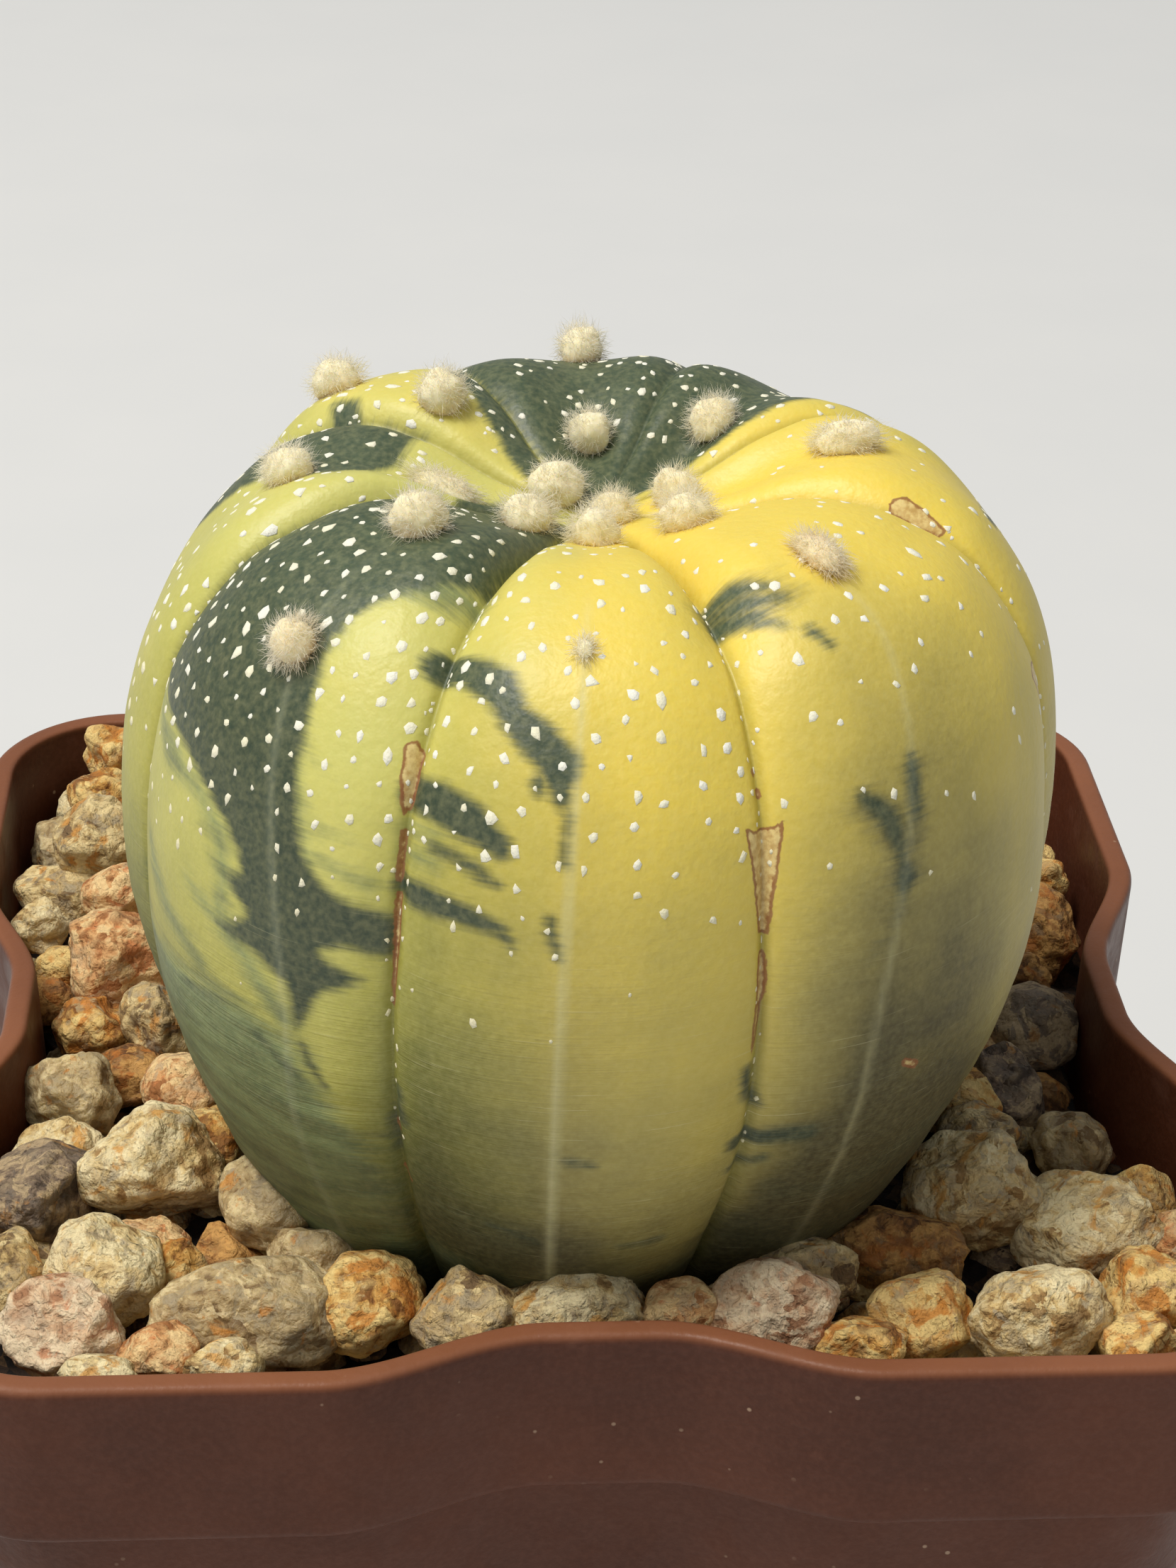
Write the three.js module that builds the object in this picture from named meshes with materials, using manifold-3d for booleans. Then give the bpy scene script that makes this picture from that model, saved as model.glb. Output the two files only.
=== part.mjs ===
// A ribbed, woolly round cactus in a square plastic nursery pot with a top dressing of gravel.
// Millimetres, +Z up. The origin is the middle of the pot's foot, on the surface it stands on;
// the front of the pot, where the plant leans out, faces -Y.
import * as THREE from "three";
import { ConvexGeometry } from "three/addons/geometries/ConvexGeometry.js";
import { LoftGeometry } from "three/addons/geometries/LoftGeometry.js";
import { mergeVertices } from "three/addons/utils/BufferGeometryUtils.js";
import Module from "manifold-3d";

const wasm = await Module();
wasm.setup();

// ---- Driving dimensions -------------------------------------------------------------------

const GAP = 0.35; // clearance between two pieces that touch

// Pot
const POT_WIDTH = 70;
const POT_HEIGHT = 70;
const FOOT_WIDTH = 54;
const CORNER_RADIUS = 8;
const FOOT_CORNER_RADIUS = 6;
const RIM_WALL = 1.45;
const WALL = 1.3;
const SKIRT_HEIGHT = 9.7; // the plain band below the rim
const SKIRT_DRAFT = 0.35;
const SKIRT_STEP = 1.5; // how far the tapered body stands back under the skirt
const EDGE_ROUND = 0.4;
const DENT_DEPTH = 3.4; // each side is pressed inwards in its middle
const DENT_DEPTH_AT_FOOT = 1.8;
const DENT_FLAT = 2.6; // half length of the dent's level middle
const DENT_REACH = 13.7; // half length of the whole dent
const FLOOR_LIFT = 1.5; // the floor stands clear of the ground inside the foot ring
const FLOOR_THICKNESS = 1.4;
const FOOT_RING = 2.4;
const DRAIN_RADIUS = 2.5;
const MIDDLE_DRAIN_RADIUS = 3;
const DRAIN_OFFSET = 13;
const NOTCH_WIDTH = 6;
const NOTCH_HEIGHT = 0.9;

// Fill
const SOIL_TOP = POT_HEIGHT - 14;
const BED_EDGE_TOP = POT_HEIGHT - 7; // gravel bed against the wall
const BED_CROWN_TOP = POT_HEIGHT - 5.2; // gravel bed round the plant
const BED_SHOULDER = 9; // width of the slope between the two

// Plant. Angles are degrees round its axis, 0 at the front, growing towards +X.
// Heights are above the rim of the pot.
const AXIS = new THREE.Vector2(-0.2, -4.4); // where the plant's axis crosses the rim's height
const LEAN = new THREE.Vector2(0.028, 0.021); // sideways move of the axis per millimetre of height
const TILT = new THREE.Vector2(0.007, 0.022); // rise of the crown per millimetre to the right and back
const FRONT_SWELL = 0.075; // the front grows fuller than the back
const SIDE_SWELL = 0.016;
const CREST_PROFILE = [
  [0, 30.9], [5.4, 32.4], [9.4, 34.2], [12.7, 34.9], [16.1, 34.3], [19.9, 32.1],
  [23.1, 27.1], [24.6, 19.7], [24.3, 11.2], [21.8, 3.3], [18.1, -4.1], [14, -10.5],
]; // radius and height along a rib's crest, from the sunken crown to the base
const GROOVE_DEPTH = [[0, 0], [0.1, 1.3], [0.22, 2.5], [0.36, 2.2], [0.55, 1.4], [1, 1.1]];
const GROOVE_POWER = 2.6; // how narrow the grooves are beside the round ribs
const CROWN_POWER = 2; // how much narrower they are round the crown
const NARROW_TO = [0.2, 0.5]; // where along the skin that fades away
const GROOVES = [-151, -117, -74.5, -24.5, 16.5, 73, 115, 157];
const GROOVE_SHARES = [0.82, 0.9, 1, 1, 1, 0.95, 0.86, 0.82]; // the back is less deeply ribbed
const CRESTS = [-129, -93, -45, -5, 37, 97, 136, 180];
const RIB_SWELL = [0, -1.2, -0.1, -0.2, 0.2, -1, -1.3, -1]; // how far each rib stands out on top
const SWELL_FULL = 0.14; // where along the skin the swell is whole
const SWELL_FADES = [0.42, 0.66]; // and where it fades away
const APEX_RADIUS = 0.6; // the growing tip, a low nub in the middle of the crown
const APEX_HEIGHT = 32.4;
const NECK_HEIGHT = -13; // the body has closed to its root here
const ROOT_RADIUS = 4.2;
const ROOT_TIP_RADIUS = 1.2;
const ROOT_LENGTH = 26;
const RIB_STEPS = [0, 0.18, 0.44, 0.72, 1, 0.72, 0.44, 0.18]; // groove, crest, groove
const PROFILE_ROWS = 20;

// Wool tufts, as places from 0 (crown) to 1 (base) along each crest, in the order of CRESTS
const TUFTS = [
  [0.05, 0.22, 0.405], [0.135, 0.37], [0.085, 0.27, 0.465], [0.095, 0.41], [0.03, 0.12, 0.34],
  [0.07, 0.28], [0.185], [0.125, 0.37],
];
const TUFT_RADIUS = 1.4;
const TUFT_POINTS = 16;
const WORN_TUFT_RADIUS = 0.8; // the front rib keeps only a scrap of wool

// White flecks, in rows beside each crest
const FLECK_LANES = [-0.5, 0.5];
const FLECK_FIRST = 0.16;
const FLECK_LAST = 0.68;
const FLECK_PITCH = 0.07;
const FLECK_RADIUS = 0.75; // at the foot of its root, under the skin
const FLECK_HEIGHT = 0.4;
const FLECK_ROOT = 0.3;

// Gravel. Each stone placed by hand is x, y, height of its middle above the rim, and its length,
// width and height.
const STONES = [
  [-27, 26.5, 1.5, 4, 4, 4], [-27.5, 22.5, 0.5, 4, 3.5, 3.5], [-27.5, 18.5, -0.5, 5, 5, 5],
  [-31, 25.5, -5, 3.5, 4, 3.5], [-30, 17, -3.2, 5, 4.5, 4], [-31, 13.5, -3.5, 3, 3, 3],
  [-26, 12, -0.5, 4, 4, 3.5], [-25.8, 7, -2, 6.5, 6, 6], [-29.5, 10, -5, 3.5, 3.5, 3.5],
  [-27, 3, -4, 4.5, 4.5, 4], [-23.3, 1.6, -3, 4, 4.5, 4.5], [-28, -4, -4, 5, 5.5, 5],
  [-24.8, -1.5, -4.5, 4.5, 4, 3.5], [-21.3, -6, -2.5, 4.6, 4.5, 4], [-22.8, -13.4, -2, 8, 6, 6],
  [-28.8, -14.5, -3.5, 6, 8, 6], [-19.7, -10.8, -2.5, 4, 4, 3.5], [-16, -16.2, -2.6, 6.2, 5.5, 5],
  [-24.7, -22, -2.5, 5.5, 6, 5.5], [-26.3, -27, -2.6, 6, 5.5, 5], [-29.6, -22, -3, 3.5, 5, 4],
  [-17.3, -26.2, -2.5, 9.2, 6, 5], [-11.4, -24.8, -2.9, 6, 5.5, 4.6], [-21.5, -28.8, -2.8, 4, 3.5, 3],
  [-19, -18.4, -4.6, 4, 3.5, 3.5], [-21.2, -21.2, -3.4, 3, 3, 3], [-6.6, -26.8, -2.3, 5, 4.5, 4],
  [-1.3, -26.2, -2.4, 7.6, 4.6, 4.4], [4.4, -26.6, -2.3, 3.4, 3.2, 3], [8.8, -26.6, -2.7, 7.6, 5.4, 5],
  [10.4, -23.4, -2.6, 7, 3.6, 3], [16, -20, -3.6, 7.2, 5.2, 4.4], [21.2, -15.8, -3, 7.2, 6.4, 6.2],
  [26.8, -18, -4, 8.4, 6.4, 5.2], [22.6, -26.4, -3, 6.4, 5.6, 5], [28.6, -24, -4, 5, 5, 4.4],
  [27.4, -28.6, -3.6, 4, 3.6, 3.4], [17, -26, -3.6, 5.6, 4.6, 4], [13.2, -28.6, -3.4, 4.4, 3.6, 3],
  [27.6, -9, -5.4, 4.4, 4.4, 4], [24.4, -3.8, -5, 4.8, 6, 5], [27.6, 2.6, -5, 5.4, 5.8, 5],
  [30, 13.5, -5, 4, 6, 5], [30.6, 19, -4.4, 3.4, 3.8, 3.6], [27.6, 8.2, -5, 3.6, 3.4, 3.4],
];
const GRAVEL_SEED = 4127;
const GRAVEL_DARTS = 2600;
const SMALLEST_STONE = 4.4;
const LARGEST_STONE = 6.8;
const STONE_SPACING = 0.76; // 1 would be stones that only touch
const STONE_FLATNESS = 0.88;
const STONE_LEVEL_AT_PLANT = -3.4;
const STONE_LEVEL_AT_WALL = -5.2;
const PLANT_RADIUS_IN_GRAVEL = 19;
const SLOPE_WIDTH = 13;
const CORNER_REACH = 44.5; // from the middle of the pot to the inside of a corner
const STONE_FOOT = -9; // every stone's underside reaches down into the bed
const STONE_POINTS = 11;
const SHAPE_SEED = 977;

// ---- Colours ------------------------------------------------------------------------------

const PLASTIC = new THREE.MeshStandardMaterial({ color: 0x6b4033, roughness: 0.55, metalness: 0 });
const SOIL = new THREE.MeshStandardMaterial({ color: 0x2e2119, roughness: 1, metalness: 0 });
const STONE = new THREE.MeshStandardMaterial({ color: 0xc9a878, roughness: 0.8, metalness: 0 });
const SKIN = new THREE.MeshStandardMaterial({ color: 0xb5b05a, roughness: 0.5, metalness: 0 });

// ---- Helpers ------------------------------------------------------------------------------

const radians = THREE.MathUtils.degToRad;
const lerp = THREE.MathUtils.lerp;
const clamp = THREE.MathUtils.clamp;
const smoothstep = THREE.MathUtils.smoothstep;

// A repeatable stream of numbers from 0 to 1.
function drawsFrom(seed) {
  let state = seed;
  return () => {
    state = (state * 48271) % 2147483647;
    return state / 2147483647;
  };
}

// Value at x of a broken line through [x, y] points.
function along(points, x) {
  if (x <= points[0][0]) return points[0][1];
  for (let i = 1; i < points.length; i += 1) {
    const [x0, y0] = points[i - 1];
    const [x1, y1] = points[i];
    if (x <= x1) return lerp(y0, y1, (x - x0) / (x1 - x0));
  }
  return points.at(-1)[1];
}

// A closed three.js geometry as a solid that can be joined and cut.
function solid(geometry) {
  const bare = new THREE.BufferGeometry();
  bare.setAttribute("position", geometry.getAttribute("position"));
  if (geometry.index) bare.setIndex(geometry.index);
  const merged = mergeVertices(bare, 1e-4);
  return new wasm.Manifold(
    new wasm.Mesh({
      numProp: 3,
      vertProperties: new Float32Array(merged.getAttribute("position").array),
      triVerts: new Uint32Array(merged.index.array),
    }),
  );
}

function join(solids) {
  let level = solids;
  while (level.length > 1) {
    const next = [];
    for (let i = 0; i < level.length; i += 2) {
      next.push(i + 1 < level.length ? level[i].add(level[i + 1]) : level[i]);
    }
    level = next;
  }
  return level[0];
}

// The largest connected piece of a solid, without the loose scraps that a cut can leave.
function mainBody(body) {
  return body.decompose().sort((a, b) => b.volume() - a.volume())[0];
}

function meshOf(name, body, material) {
  const { vertProperties, triVerts } = mainBody(body).getMesh();
  const geometry = new THREE.BufferGeometry();
  geometry.setAttribute("position", new THREE.BufferAttribute(vertProperties, 3));
  geometry.setIndex(new THREE.BufferAttribute(triVerts, 1));
  geometry.computeVertexNormals();
  const mesh = new THREE.Mesh(geometry, material);
  mesh.name = name;
  return mesh;
}

function loft(sections) {
  return solid(new LoftGeometry(sections, { capStart: true, capEnd: true }));
}

// ---- Pot ----------------------------------------------------------------------------------

const BODY_TOP = POT_HEIGHT - SKIRT_HEIGHT;
const SKIRT_HALF = POT_WIDTH / 2 - SKIRT_DRAFT; // half width at the skirt's lower edge
const BODY_HALF = SKIRT_HALF - SKIRT_STEP;
const FOOT_HALF = FOOT_WIDTH / 2;
const FLOOR_TOP = FLOOR_LIFT + FLOOR_THICKNESS;

const OUTSIDE = [
  [0, FOOT_HALF - EDGE_ROUND], [EDGE_ROUND, FOOT_HALF], [BODY_TOP, BODY_HALF],
  [BODY_TOP + 0.01, SKIRT_HALF], [POT_HEIGHT - EDGE_ROUND, POT_WIDTH / 2],
  [POT_HEIGHT, POT_WIDTH / 2 - EDGE_ROUND],
]; // height and half width
const INSIDE = [
  [FLOOR_TOP, FOOT_HALF - WALL], [BODY_TOP, BODY_HALF - WALL],
  [BODY_TOP + SKIRT_STEP, SKIRT_HALF - RIM_WALL], [POT_HEIGHT, POT_WIDTH / 2 - RIM_WALL],
];

function insideHalf(z) {
  return along(INSIDE, z);
}

function dentOffset(u, depth) {
  const run = (Math.abs(u) - DENT_FLAT) / (DENT_REACH - DENT_FLAT);
  return depth * (1 - smoothstep(run, 0, 1));
}

// The pot's plan at a height, counterclockwise: four equal sides with a dent, and round corners.
function outline(z, half) {
  const up = clamp(z / BODY_TOP, 0, 1);
  const depth = lerp(DENT_DEPTH_AT_FOOT, DENT_DEPTH, up);
  const radius = lerp(FOOT_CORNER_RADIUS, CORNER_RADIUS, up) - (outsideHalf(z) - half);
  const straight = half - radius;
  const slopeSteps = 4;
  const slope = Array.from({ length: slopeSteps + 1 }, (_, i) =>
    lerp(DENT_REACH, DENT_FLAT, i / slopeSteps));
  const places = [-straight, ...slope.map((u) => -u), ...slope.toReversed(), straight];
  const side = places.map((u) => new THREE.Vector2(u, dentOffset(u, depth) - half));
  const cornerSteps = 5;
  for (let i = 1; i < cornerSteps; i += 1) {
    const angle = radians(-90 + (90 * i) / cornerSteps);
    side.push(new THREE.Vector2(
      straight + radius * Math.cos(angle), -straight + radius * Math.sin(angle)));
  }
  const turns = [0, 90, 180, 270].map(radians);
  const middle = new THREE.Vector2();
  return turns.flatMap((turn) => side.map((p) => {
    const q = p.clone().rotateAround(middle, turn);
    return new THREE.Vector3(q.x, q.y, z);
  }));
}

function outsideHalf(z) {
  return along(OUTSIDE, z);
}

function makePot() {
  const shell = loft(OUTSIDE.map(([z, half]) => outline(z, half)));
  const hollow = loft([...INSIDE, [POT_HEIGHT + 2, insideHalf(POT_HEIGHT)]]
    .map(([z, half]) => outline(z, half)));
  const underFloor = loft([-1, FLOOR_LIFT].map((z) => outline(z, FOOT_HALF - FOOT_RING)));
  const drains = [[0, 0, MIDDLE_DRAIN_RADIUS]];
  for (const x of [-DRAIN_OFFSET, DRAIN_OFFSET]) {
    for (const y of [-DRAIN_OFFSET, DRAIN_OFFSET]) drains.push([x, y, DRAIN_RADIUS]);
  }
  const holes = drains.map(([x, y, radius]) => {
    const drain = new THREE.CylinderGeometry(radius, radius, 4 * FLOOR_TOP, 20);
    return solid(drain.rotateX(Math.PI / 2).translate(x, y, 0));
  });
  const notches = [
    solid(new THREE.BoxGeometry(POT_WIDTH, NOTCH_WIDTH, 2 * NOTCH_HEIGHT)),
    solid(new THREE.BoxGeometry(NOTCH_WIDTH, POT_WIDTH, 2 * NOTCH_HEIGHT)),
  ];
  return shell.subtract(join([hollow, underFloor, ...holes, ...notches]));
}

// A solid that fills the pot between two heights, clear of its wall by GAP.
function fillOf(low, high) {
  const kinks = INSIDE.map(([z]) => z).filter((z) => z > low && z < high);
  return loft([low, ...kinks, high].map((z) => outline(z, insideHalf(z) - GAP)));
}

// ---- Plant --------------------------------------------------------------------------------

const CREST_CURVE = new THREE.SplineCurve(CREST_PROFILE.map(([r, z]) => new THREE.Vector2(r, z)));

// A point near the plant: s runs from the crown (0) to the base (1). A line down the skin has its
// angle theta round the axis, its valley, 0 on a crest and 1 in a full groove, and its swell.
// grow moves the skin outwards.
function skinPoint({ theta, valley, swell }, s, grow = 0) {
  const crest = CREST_CURVE.getPoint(s);
  const way = CREST_CURVE.getTangent(s);
  const power = GROOVE_POWER + CROWN_POWER * (1 - smoothstep(s, ...NARROW_TO));
  const rise = swell * smoothstep(s, 0, SWELL_FULL) * (1 - smoothstep(s, ...SWELL_FADES));
  const depth = along(GROOVE_DEPTH, s) * valley ** power - rise - grow;
  return turned(theta, crest.x + depth * way.y, crest.y - depth * way.x);
}

// The point at a radius and a height on the leaning, unevenly swollen plant.
function turned(theta, radius, height) {
  const full = radius * (1 + FRONT_SWELL * Math.cos(theta) + SIDE_SWELL * Math.sin(theta));
  const x = full * Math.sin(theta);
  const y = -full * Math.cos(theta);
  return new THREE.Vector3(
    AXIS.x + x + LEAN.x * height,
    AXIS.y + y + LEAN.y * height,
    POT_HEIGHT + height + TILT.x * x + TILT.y * y,
  );
}

// Rib i runs from groove i to groove i + 1. The line down it at a step from groove (0) to crest (1).
function ribLine(i, step, after) {
  const side = after ? i + 1 : i;
  const groove = GROOVES[side] ?? GROOVES[0] + 360;
  return {
    theta: radians(lerp(groove, CRESTS[i], step)),
    valley: (1 - step) * (GROOVE_SHARES[side] ?? GROOVE_SHARES[0]),
    swell: step * RIB_SWELL[i],
  };
}

const LINES = CRESTS.flatMap((_, i) => RIB_STEPS.map((step, k) =>
  ribLine(i, step, k > RIB_STEPS.length / 2)));

// Body, neck and taproot as one loft from the root's tip up to the crown.
function plantBody(grow) {
  const rows = [];
  const ring = (radius, height) =>
    LINES.map(({ theta }) => turned(theta, radius + grow, height));
  rows.push(ring(ROOT_TIP_RADIUS, NECK_HEIGHT - ROOT_LENGTH - grow));
  rows.push(ring(ROOT_RADIUS, NECK_HEIGHT - grow));
  rows.push(ring(ROOT_RADIUS + 1, NECK_HEIGHT + 0.4 - grow));
  rows.push(ring(CREST_PROFILE.at(-1)[0] - 3, NECK_HEIGHT + 1 - grow));
  for (let i = PROFILE_ROWS; i >= 1; i -= 1) {
    rows.push(LINES.map((line) => skinPoint(line, i / PROFILE_ROWS, grow)));
  }
  rows.push(ring(APEX_RADIUS, APEX_HEIGHT + grow));
  return loft(rows);
}

// Moves a small geometry built round its own origin, +Z outwards, onto the skin.
function onSkin(geometry, line, s, sink) {
  const step = 0.02;
  const point = skinPoint(line, s);
  const round = skinPoint({ ...line, theta: line.theta + step }, s).sub(point);
  const down = skinPoint(line, s + step).sub(point);
  const outward = down.cross(round).normalize();
  const turn = new THREE.Quaternion().setFromUnitVectors(new THREE.Vector3(0, 0, 1), outward);
  return geometry.applyQuaternion(turn)
    .translate(...point.addScaledVector(outward, -sink).toArray());
}

// A lumpy round body from a few points on a spiral over a ball, each pushed in or out. Its
// half sizes are size, and depth below its middle.
function lump(draw, count, size, depth = size.z) {
  const golden = Math.PI * (3 - Math.sqrt(5));
  const points = Array.from({ length: count }, (_, i) => {
    const z = 1 - (2 * i + 1) / count;
    const flat = Math.sqrt(1 - z * z);
    const angle = golden * i + 0.6 * draw();
    const reach = 0.84 + 0.22 * draw();
    return new THREE.Vector3(flat * Math.cos(angle), flat * Math.sin(angle), z)
      .multiplyScalar(reach)
      .multiply(new THREE.Vector3(size.x, size.y, z > 0 ? size.z : depth));
  });
  return new ConvexGeometry(points);
}

function makeTufts() {
  const draw = drawsFrom(SHAPE_SEED);
  return TUFTS.flatMap((places, rib) => places.map((s) => {
    const worn = rib === 3 && s > 0.1;
    const radius = worn ? WORN_TUFT_RADIUS : TUFT_RADIUS;
    const size = new THREE.Vector3(radius, radius, radius);
    return solid(onSkin(lump(draw, TUFT_POINTS, size), ribLine(rib, 1, false), s, -0.3 * radius));
  }));
}

function makeFlecks() {
  const flecks = [];
  CRESTS.forEach((_, rib) => FLECK_LANES.forEach((lane, row) => {
    const line = ribLine(rib, 1 - Math.abs(lane), lane > 0);
    const start = FLECK_FIRST + (row % 2) * 0.5 * FLECK_PITCH;
    for (let s = start; s < FLECK_LAST; s += FLECK_PITCH) {
      const height = FLECK_HEIGHT + FLECK_ROOT;
      const scale = new THREE.ConeGeometry(FLECK_RADIUS, height, 3);
      scale.rotateX(Math.PI / 2).translate(0, 0, height / 2 - FLECK_ROOT);
      flecks.push(solid(onSkin(scale, line, s, 0)));
    }
  }));
  return flecks;
}

// ---- Gravel -------------------------------------------------------------------------------

// Whether a stone of this size at x, y lies inside the pot and outside the plant.
function fits(x, y, size) {
  const wall = insideHalf(POT_HEIGHT) - DENT_DEPTH - 0.35 * size;
  const corner = insideHalf(POT_HEIGHT) - 0.5 * size;
  const longest = Math.max(Math.abs(x), Math.abs(y));
  const shortest = Math.min(Math.abs(x), Math.abs(y));
  const cornerLimit = CORNER_REACH - 0.5 * size;
  const inCorner = longest < corner && x * x + y * y < cornerLimit * cornerLimit;
  const inside = shortest < DENT_REACH ? longest < wall : inCorner;
  const dx = x - AXIS.x;
  const dy = y - AXIS.y;
  const nearest = PLANT_RADIUS_IN_GRAVEL + 0.35 * size;
  return inside && dx * dx + dy * dy > nearest * nearest;
}

function stoneLevel(x, y) {
  const out = Math.sqrt((x - AXIS.x) ** 2 + (y - AXIS.y) ** 2) - PLANT_RADIUS_IN_GRAVEL;
  return lerp(STONE_LEVEL_AT_PLANT, STONE_LEVEL_AT_WALL, clamp(out / SLOPE_WIDTH, 0, 1));
}

// The stones placed by hand, and stones dropped between them wherever there is room.
function stonePlaces() {
  const draw = drawsFrom(GRAVEL_SEED);
  const places = STONES.map(([x, y, z, ...size]) => ({ x, y, z, size }));
  for (let i = 0; i < GRAVEL_DARTS; i += 1) {
    const reach = insideHalf(POT_HEIGHT);
    const x = reach * (2 * draw() - 1);
    const y = reach * (2 * draw() - 1);
    const chance = draw();
    const length = lerp(SMALLEST_STONE, LARGEST_STONE, chance * chance);
    const free = places.every((p) => {
      const near = (STONE_SPACING * (p.size[0] + length)) / 2;
      return (p.x - x) ** 2 + (p.y - y) ** 2 > near * near;
    });
    if (free && fits(x, y, length)) {
      const size = [length, length * STONE_FLATNESS, length * STONE_FLATNESS];
      places.push({ x, y, z: stoneLevel(x, y), size });
    }
  }
  return places;
}

function makeStones() {
  const draw = drawsFrom(SHAPE_SEED);
  return stonePlaces().map(({ x, y, z, size }) => {
    const half = new THREE.Vector3(...size).multiplyScalar(0.5);
    const depth = Math.max(half.z, z - STONE_FOOT);
    const stone = lump(draw, STONE_POINTS, half, depth);
    return solid(stone.translate(x, y, POT_HEIGHT + z));
  });
}

function makeGravel() {
  const shoulder = outline(BED_EDGE_TOP, insideHalf(BED_EDGE_TOP) - GAP);
  const inner = shoulder.map((p) => {
    const scale = 1 - BED_SHOULDER / insideHalf(BED_EDGE_TOP);
    return new THREE.Vector3(p.x * scale, p.y * scale, BED_CROWN_TOP);
  });
  const kinks = INSIDE.map(([z]) => z).filter((z) => z > SOIL_TOP + GAP && z < BED_EDGE_TOP);
  const walls = [SOIL_TOP + GAP, ...kinks].map((z) => outline(z, insideHalf(z) - GAP));
  const bed = loft([...walls, shoulder, inner]);
  const room = fillOf(SOIL_TOP + GAP, POT_HEIGHT + 10);
  return join([bed, ...makeStones()]).intersect(room).subtract(plantBody(GAP));
}

// ---- The whole ----------------------------------------------------------------------------

const pottedCactus = new THREE.Group();
pottedCactus.add(
  meshOf("pot", makePot(), PLASTIC),
  meshOf("soil", fillOf(FLOOR_TOP + GAP, SOIL_TOP).subtract(plantBody(GAP)), SOIL),
  meshOf("gravel", makeGravel(), STONE),
  meshOf("cactus", join([plantBody(0), ...makeTufts(), ...makeFlecks()]), SKIN),
);

export default pottedCactus;
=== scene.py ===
"""The looks of a round, ribbed cactus in a square plastic nursery pot with a gravel top dressing.

Lengths in this script are millimetres until make_piece() turns them into metres. Angles on the
plant are degrees round its axis, 0 at the front, growing towards +X. Heights on the plant and in
the gravel are above the rim of the pot.
"""
import math

import bpy
import numpy as np
from mathutils import Matrix


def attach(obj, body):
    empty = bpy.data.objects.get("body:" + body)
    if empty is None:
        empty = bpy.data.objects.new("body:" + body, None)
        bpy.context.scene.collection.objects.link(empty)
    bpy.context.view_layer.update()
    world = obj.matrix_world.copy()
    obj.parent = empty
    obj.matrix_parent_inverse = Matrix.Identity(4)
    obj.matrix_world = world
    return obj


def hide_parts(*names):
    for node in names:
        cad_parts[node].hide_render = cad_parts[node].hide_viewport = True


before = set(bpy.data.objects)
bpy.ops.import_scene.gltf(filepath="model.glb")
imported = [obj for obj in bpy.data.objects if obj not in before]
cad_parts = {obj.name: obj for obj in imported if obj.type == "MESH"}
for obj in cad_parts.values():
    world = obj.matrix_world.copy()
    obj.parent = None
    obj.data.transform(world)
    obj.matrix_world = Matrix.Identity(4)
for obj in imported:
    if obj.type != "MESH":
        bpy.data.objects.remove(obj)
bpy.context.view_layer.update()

MM = 0.001
BODY = "root"

# ---- Sizes shared with the part's source ----------------------------------------------------

GAP = 0.35
POT_WIDTH = 70.0
POT_HEIGHT = 70.0
FOOT_HALF = 27.0
CORNER_RADIUS = 8.0
FOOT_CORNER_RADIUS = 6.0
WALL = 1.3
RIM_WALL = 1.45
BODY_TOP = POT_HEIGHT - 9.7
SKIRT_HALF = POT_WIDTH / 2 - 0.35
BODY_HALF = SKIRT_HALF - 1.5
EDGE_ROUND = 0.4
DENT_DEPTH = 3.4
DENT_DEPTH_AT_FOOT = 1.8
DENT_FLAT = 2.6
DENT_REACH = 13.7
FLOOR_LIFT = 1.5
FLOOR_TOP = FLOOR_LIFT + 1.4
FOOT_RING = 2.4
DRAIN_RADIUS = 2.5
MIDDLE_DRAIN_RADIUS = 3.0
DRAIN_OFFSET = 13.0
NOTCH_WIDTH = 6.0
NOTCH_HEIGHT = 0.9
POT_OUTSIDE = np.array([
    (0, FOOT_HALF - EDGE_ROUND), (EDGE_ROUND, FOOT_HALF), (BODY_TOP, BODY_HALF),
    (BODY_TOP + 0.01, SKIRT_HALF), (POT_HEIGHT - EDGE_ROUND, POT_WIDTH / 2),
    (POT_HEIGHT, POT_WIDTH / 2 - EDGE_ROUND)])
POT_INSIDE = np.array([
    (FLOOR_TOP, FOOT_HALF - WALL), (BODY_TOP, BODY_HALF - WALL),
    (BODY_TOP + 1.5, SKIRT_HALF - RIM_WALL), (POT_HEIGHT, POT_WIDTH / 2 - RIM_WALL)])

AXIS = (-0.2, -4.4)
LEAN = (0.028, 0.021)
TILT = (0.007, 0.022)
FRONT_SWELL = 0.075
SIDE_SWELL = 0.016
CREST_PROFILE = np.array([
    (0, 30.9), (5.4, 32.4), (9.4, 34.2), (12.7, 34.9), (16.1, 34.3), (19.9, 32.1),
    (23.1, 27.1), (24.6, 19.7), (24.3, 11.2), (21.8, 3.3), (18.1, -4.1), (14, -10.5)])
GROOVE_DEPTH = np.array([(0, 0), (0.1, 1.3), (0.22, 2.5), (0.36, 2.2), (0.55, 1.4), (1, 1.1)])
GROOVE_POWER = 2.6
CROWN_POWER = 2.0
NARROW_TO = (0.2, 0.5)
GROOVES = (-151, -117, -74.5, -24.5, 16.5, 73, 115, 157)
GROOVE_SHARES = (0.82, 0.9, 1, 1, 1, 0.95, 0.86, 0.82)
CRESTS = (-129, -93, -45, -5, 37, 97, 136, 180)
RIB_SWELL = (0, -1.2, -0.1, -0.2, 0.2, -1, -1.3, -1)
SWELL_FULL = 0.14
SWELL_FADES = (0.42, 0.66)
KEELS = (0.1, 0.15, 0.7, 1.0, 0.6, 0.15, 0.1, 0.1)  # how sharp each rib's crest line is
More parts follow.
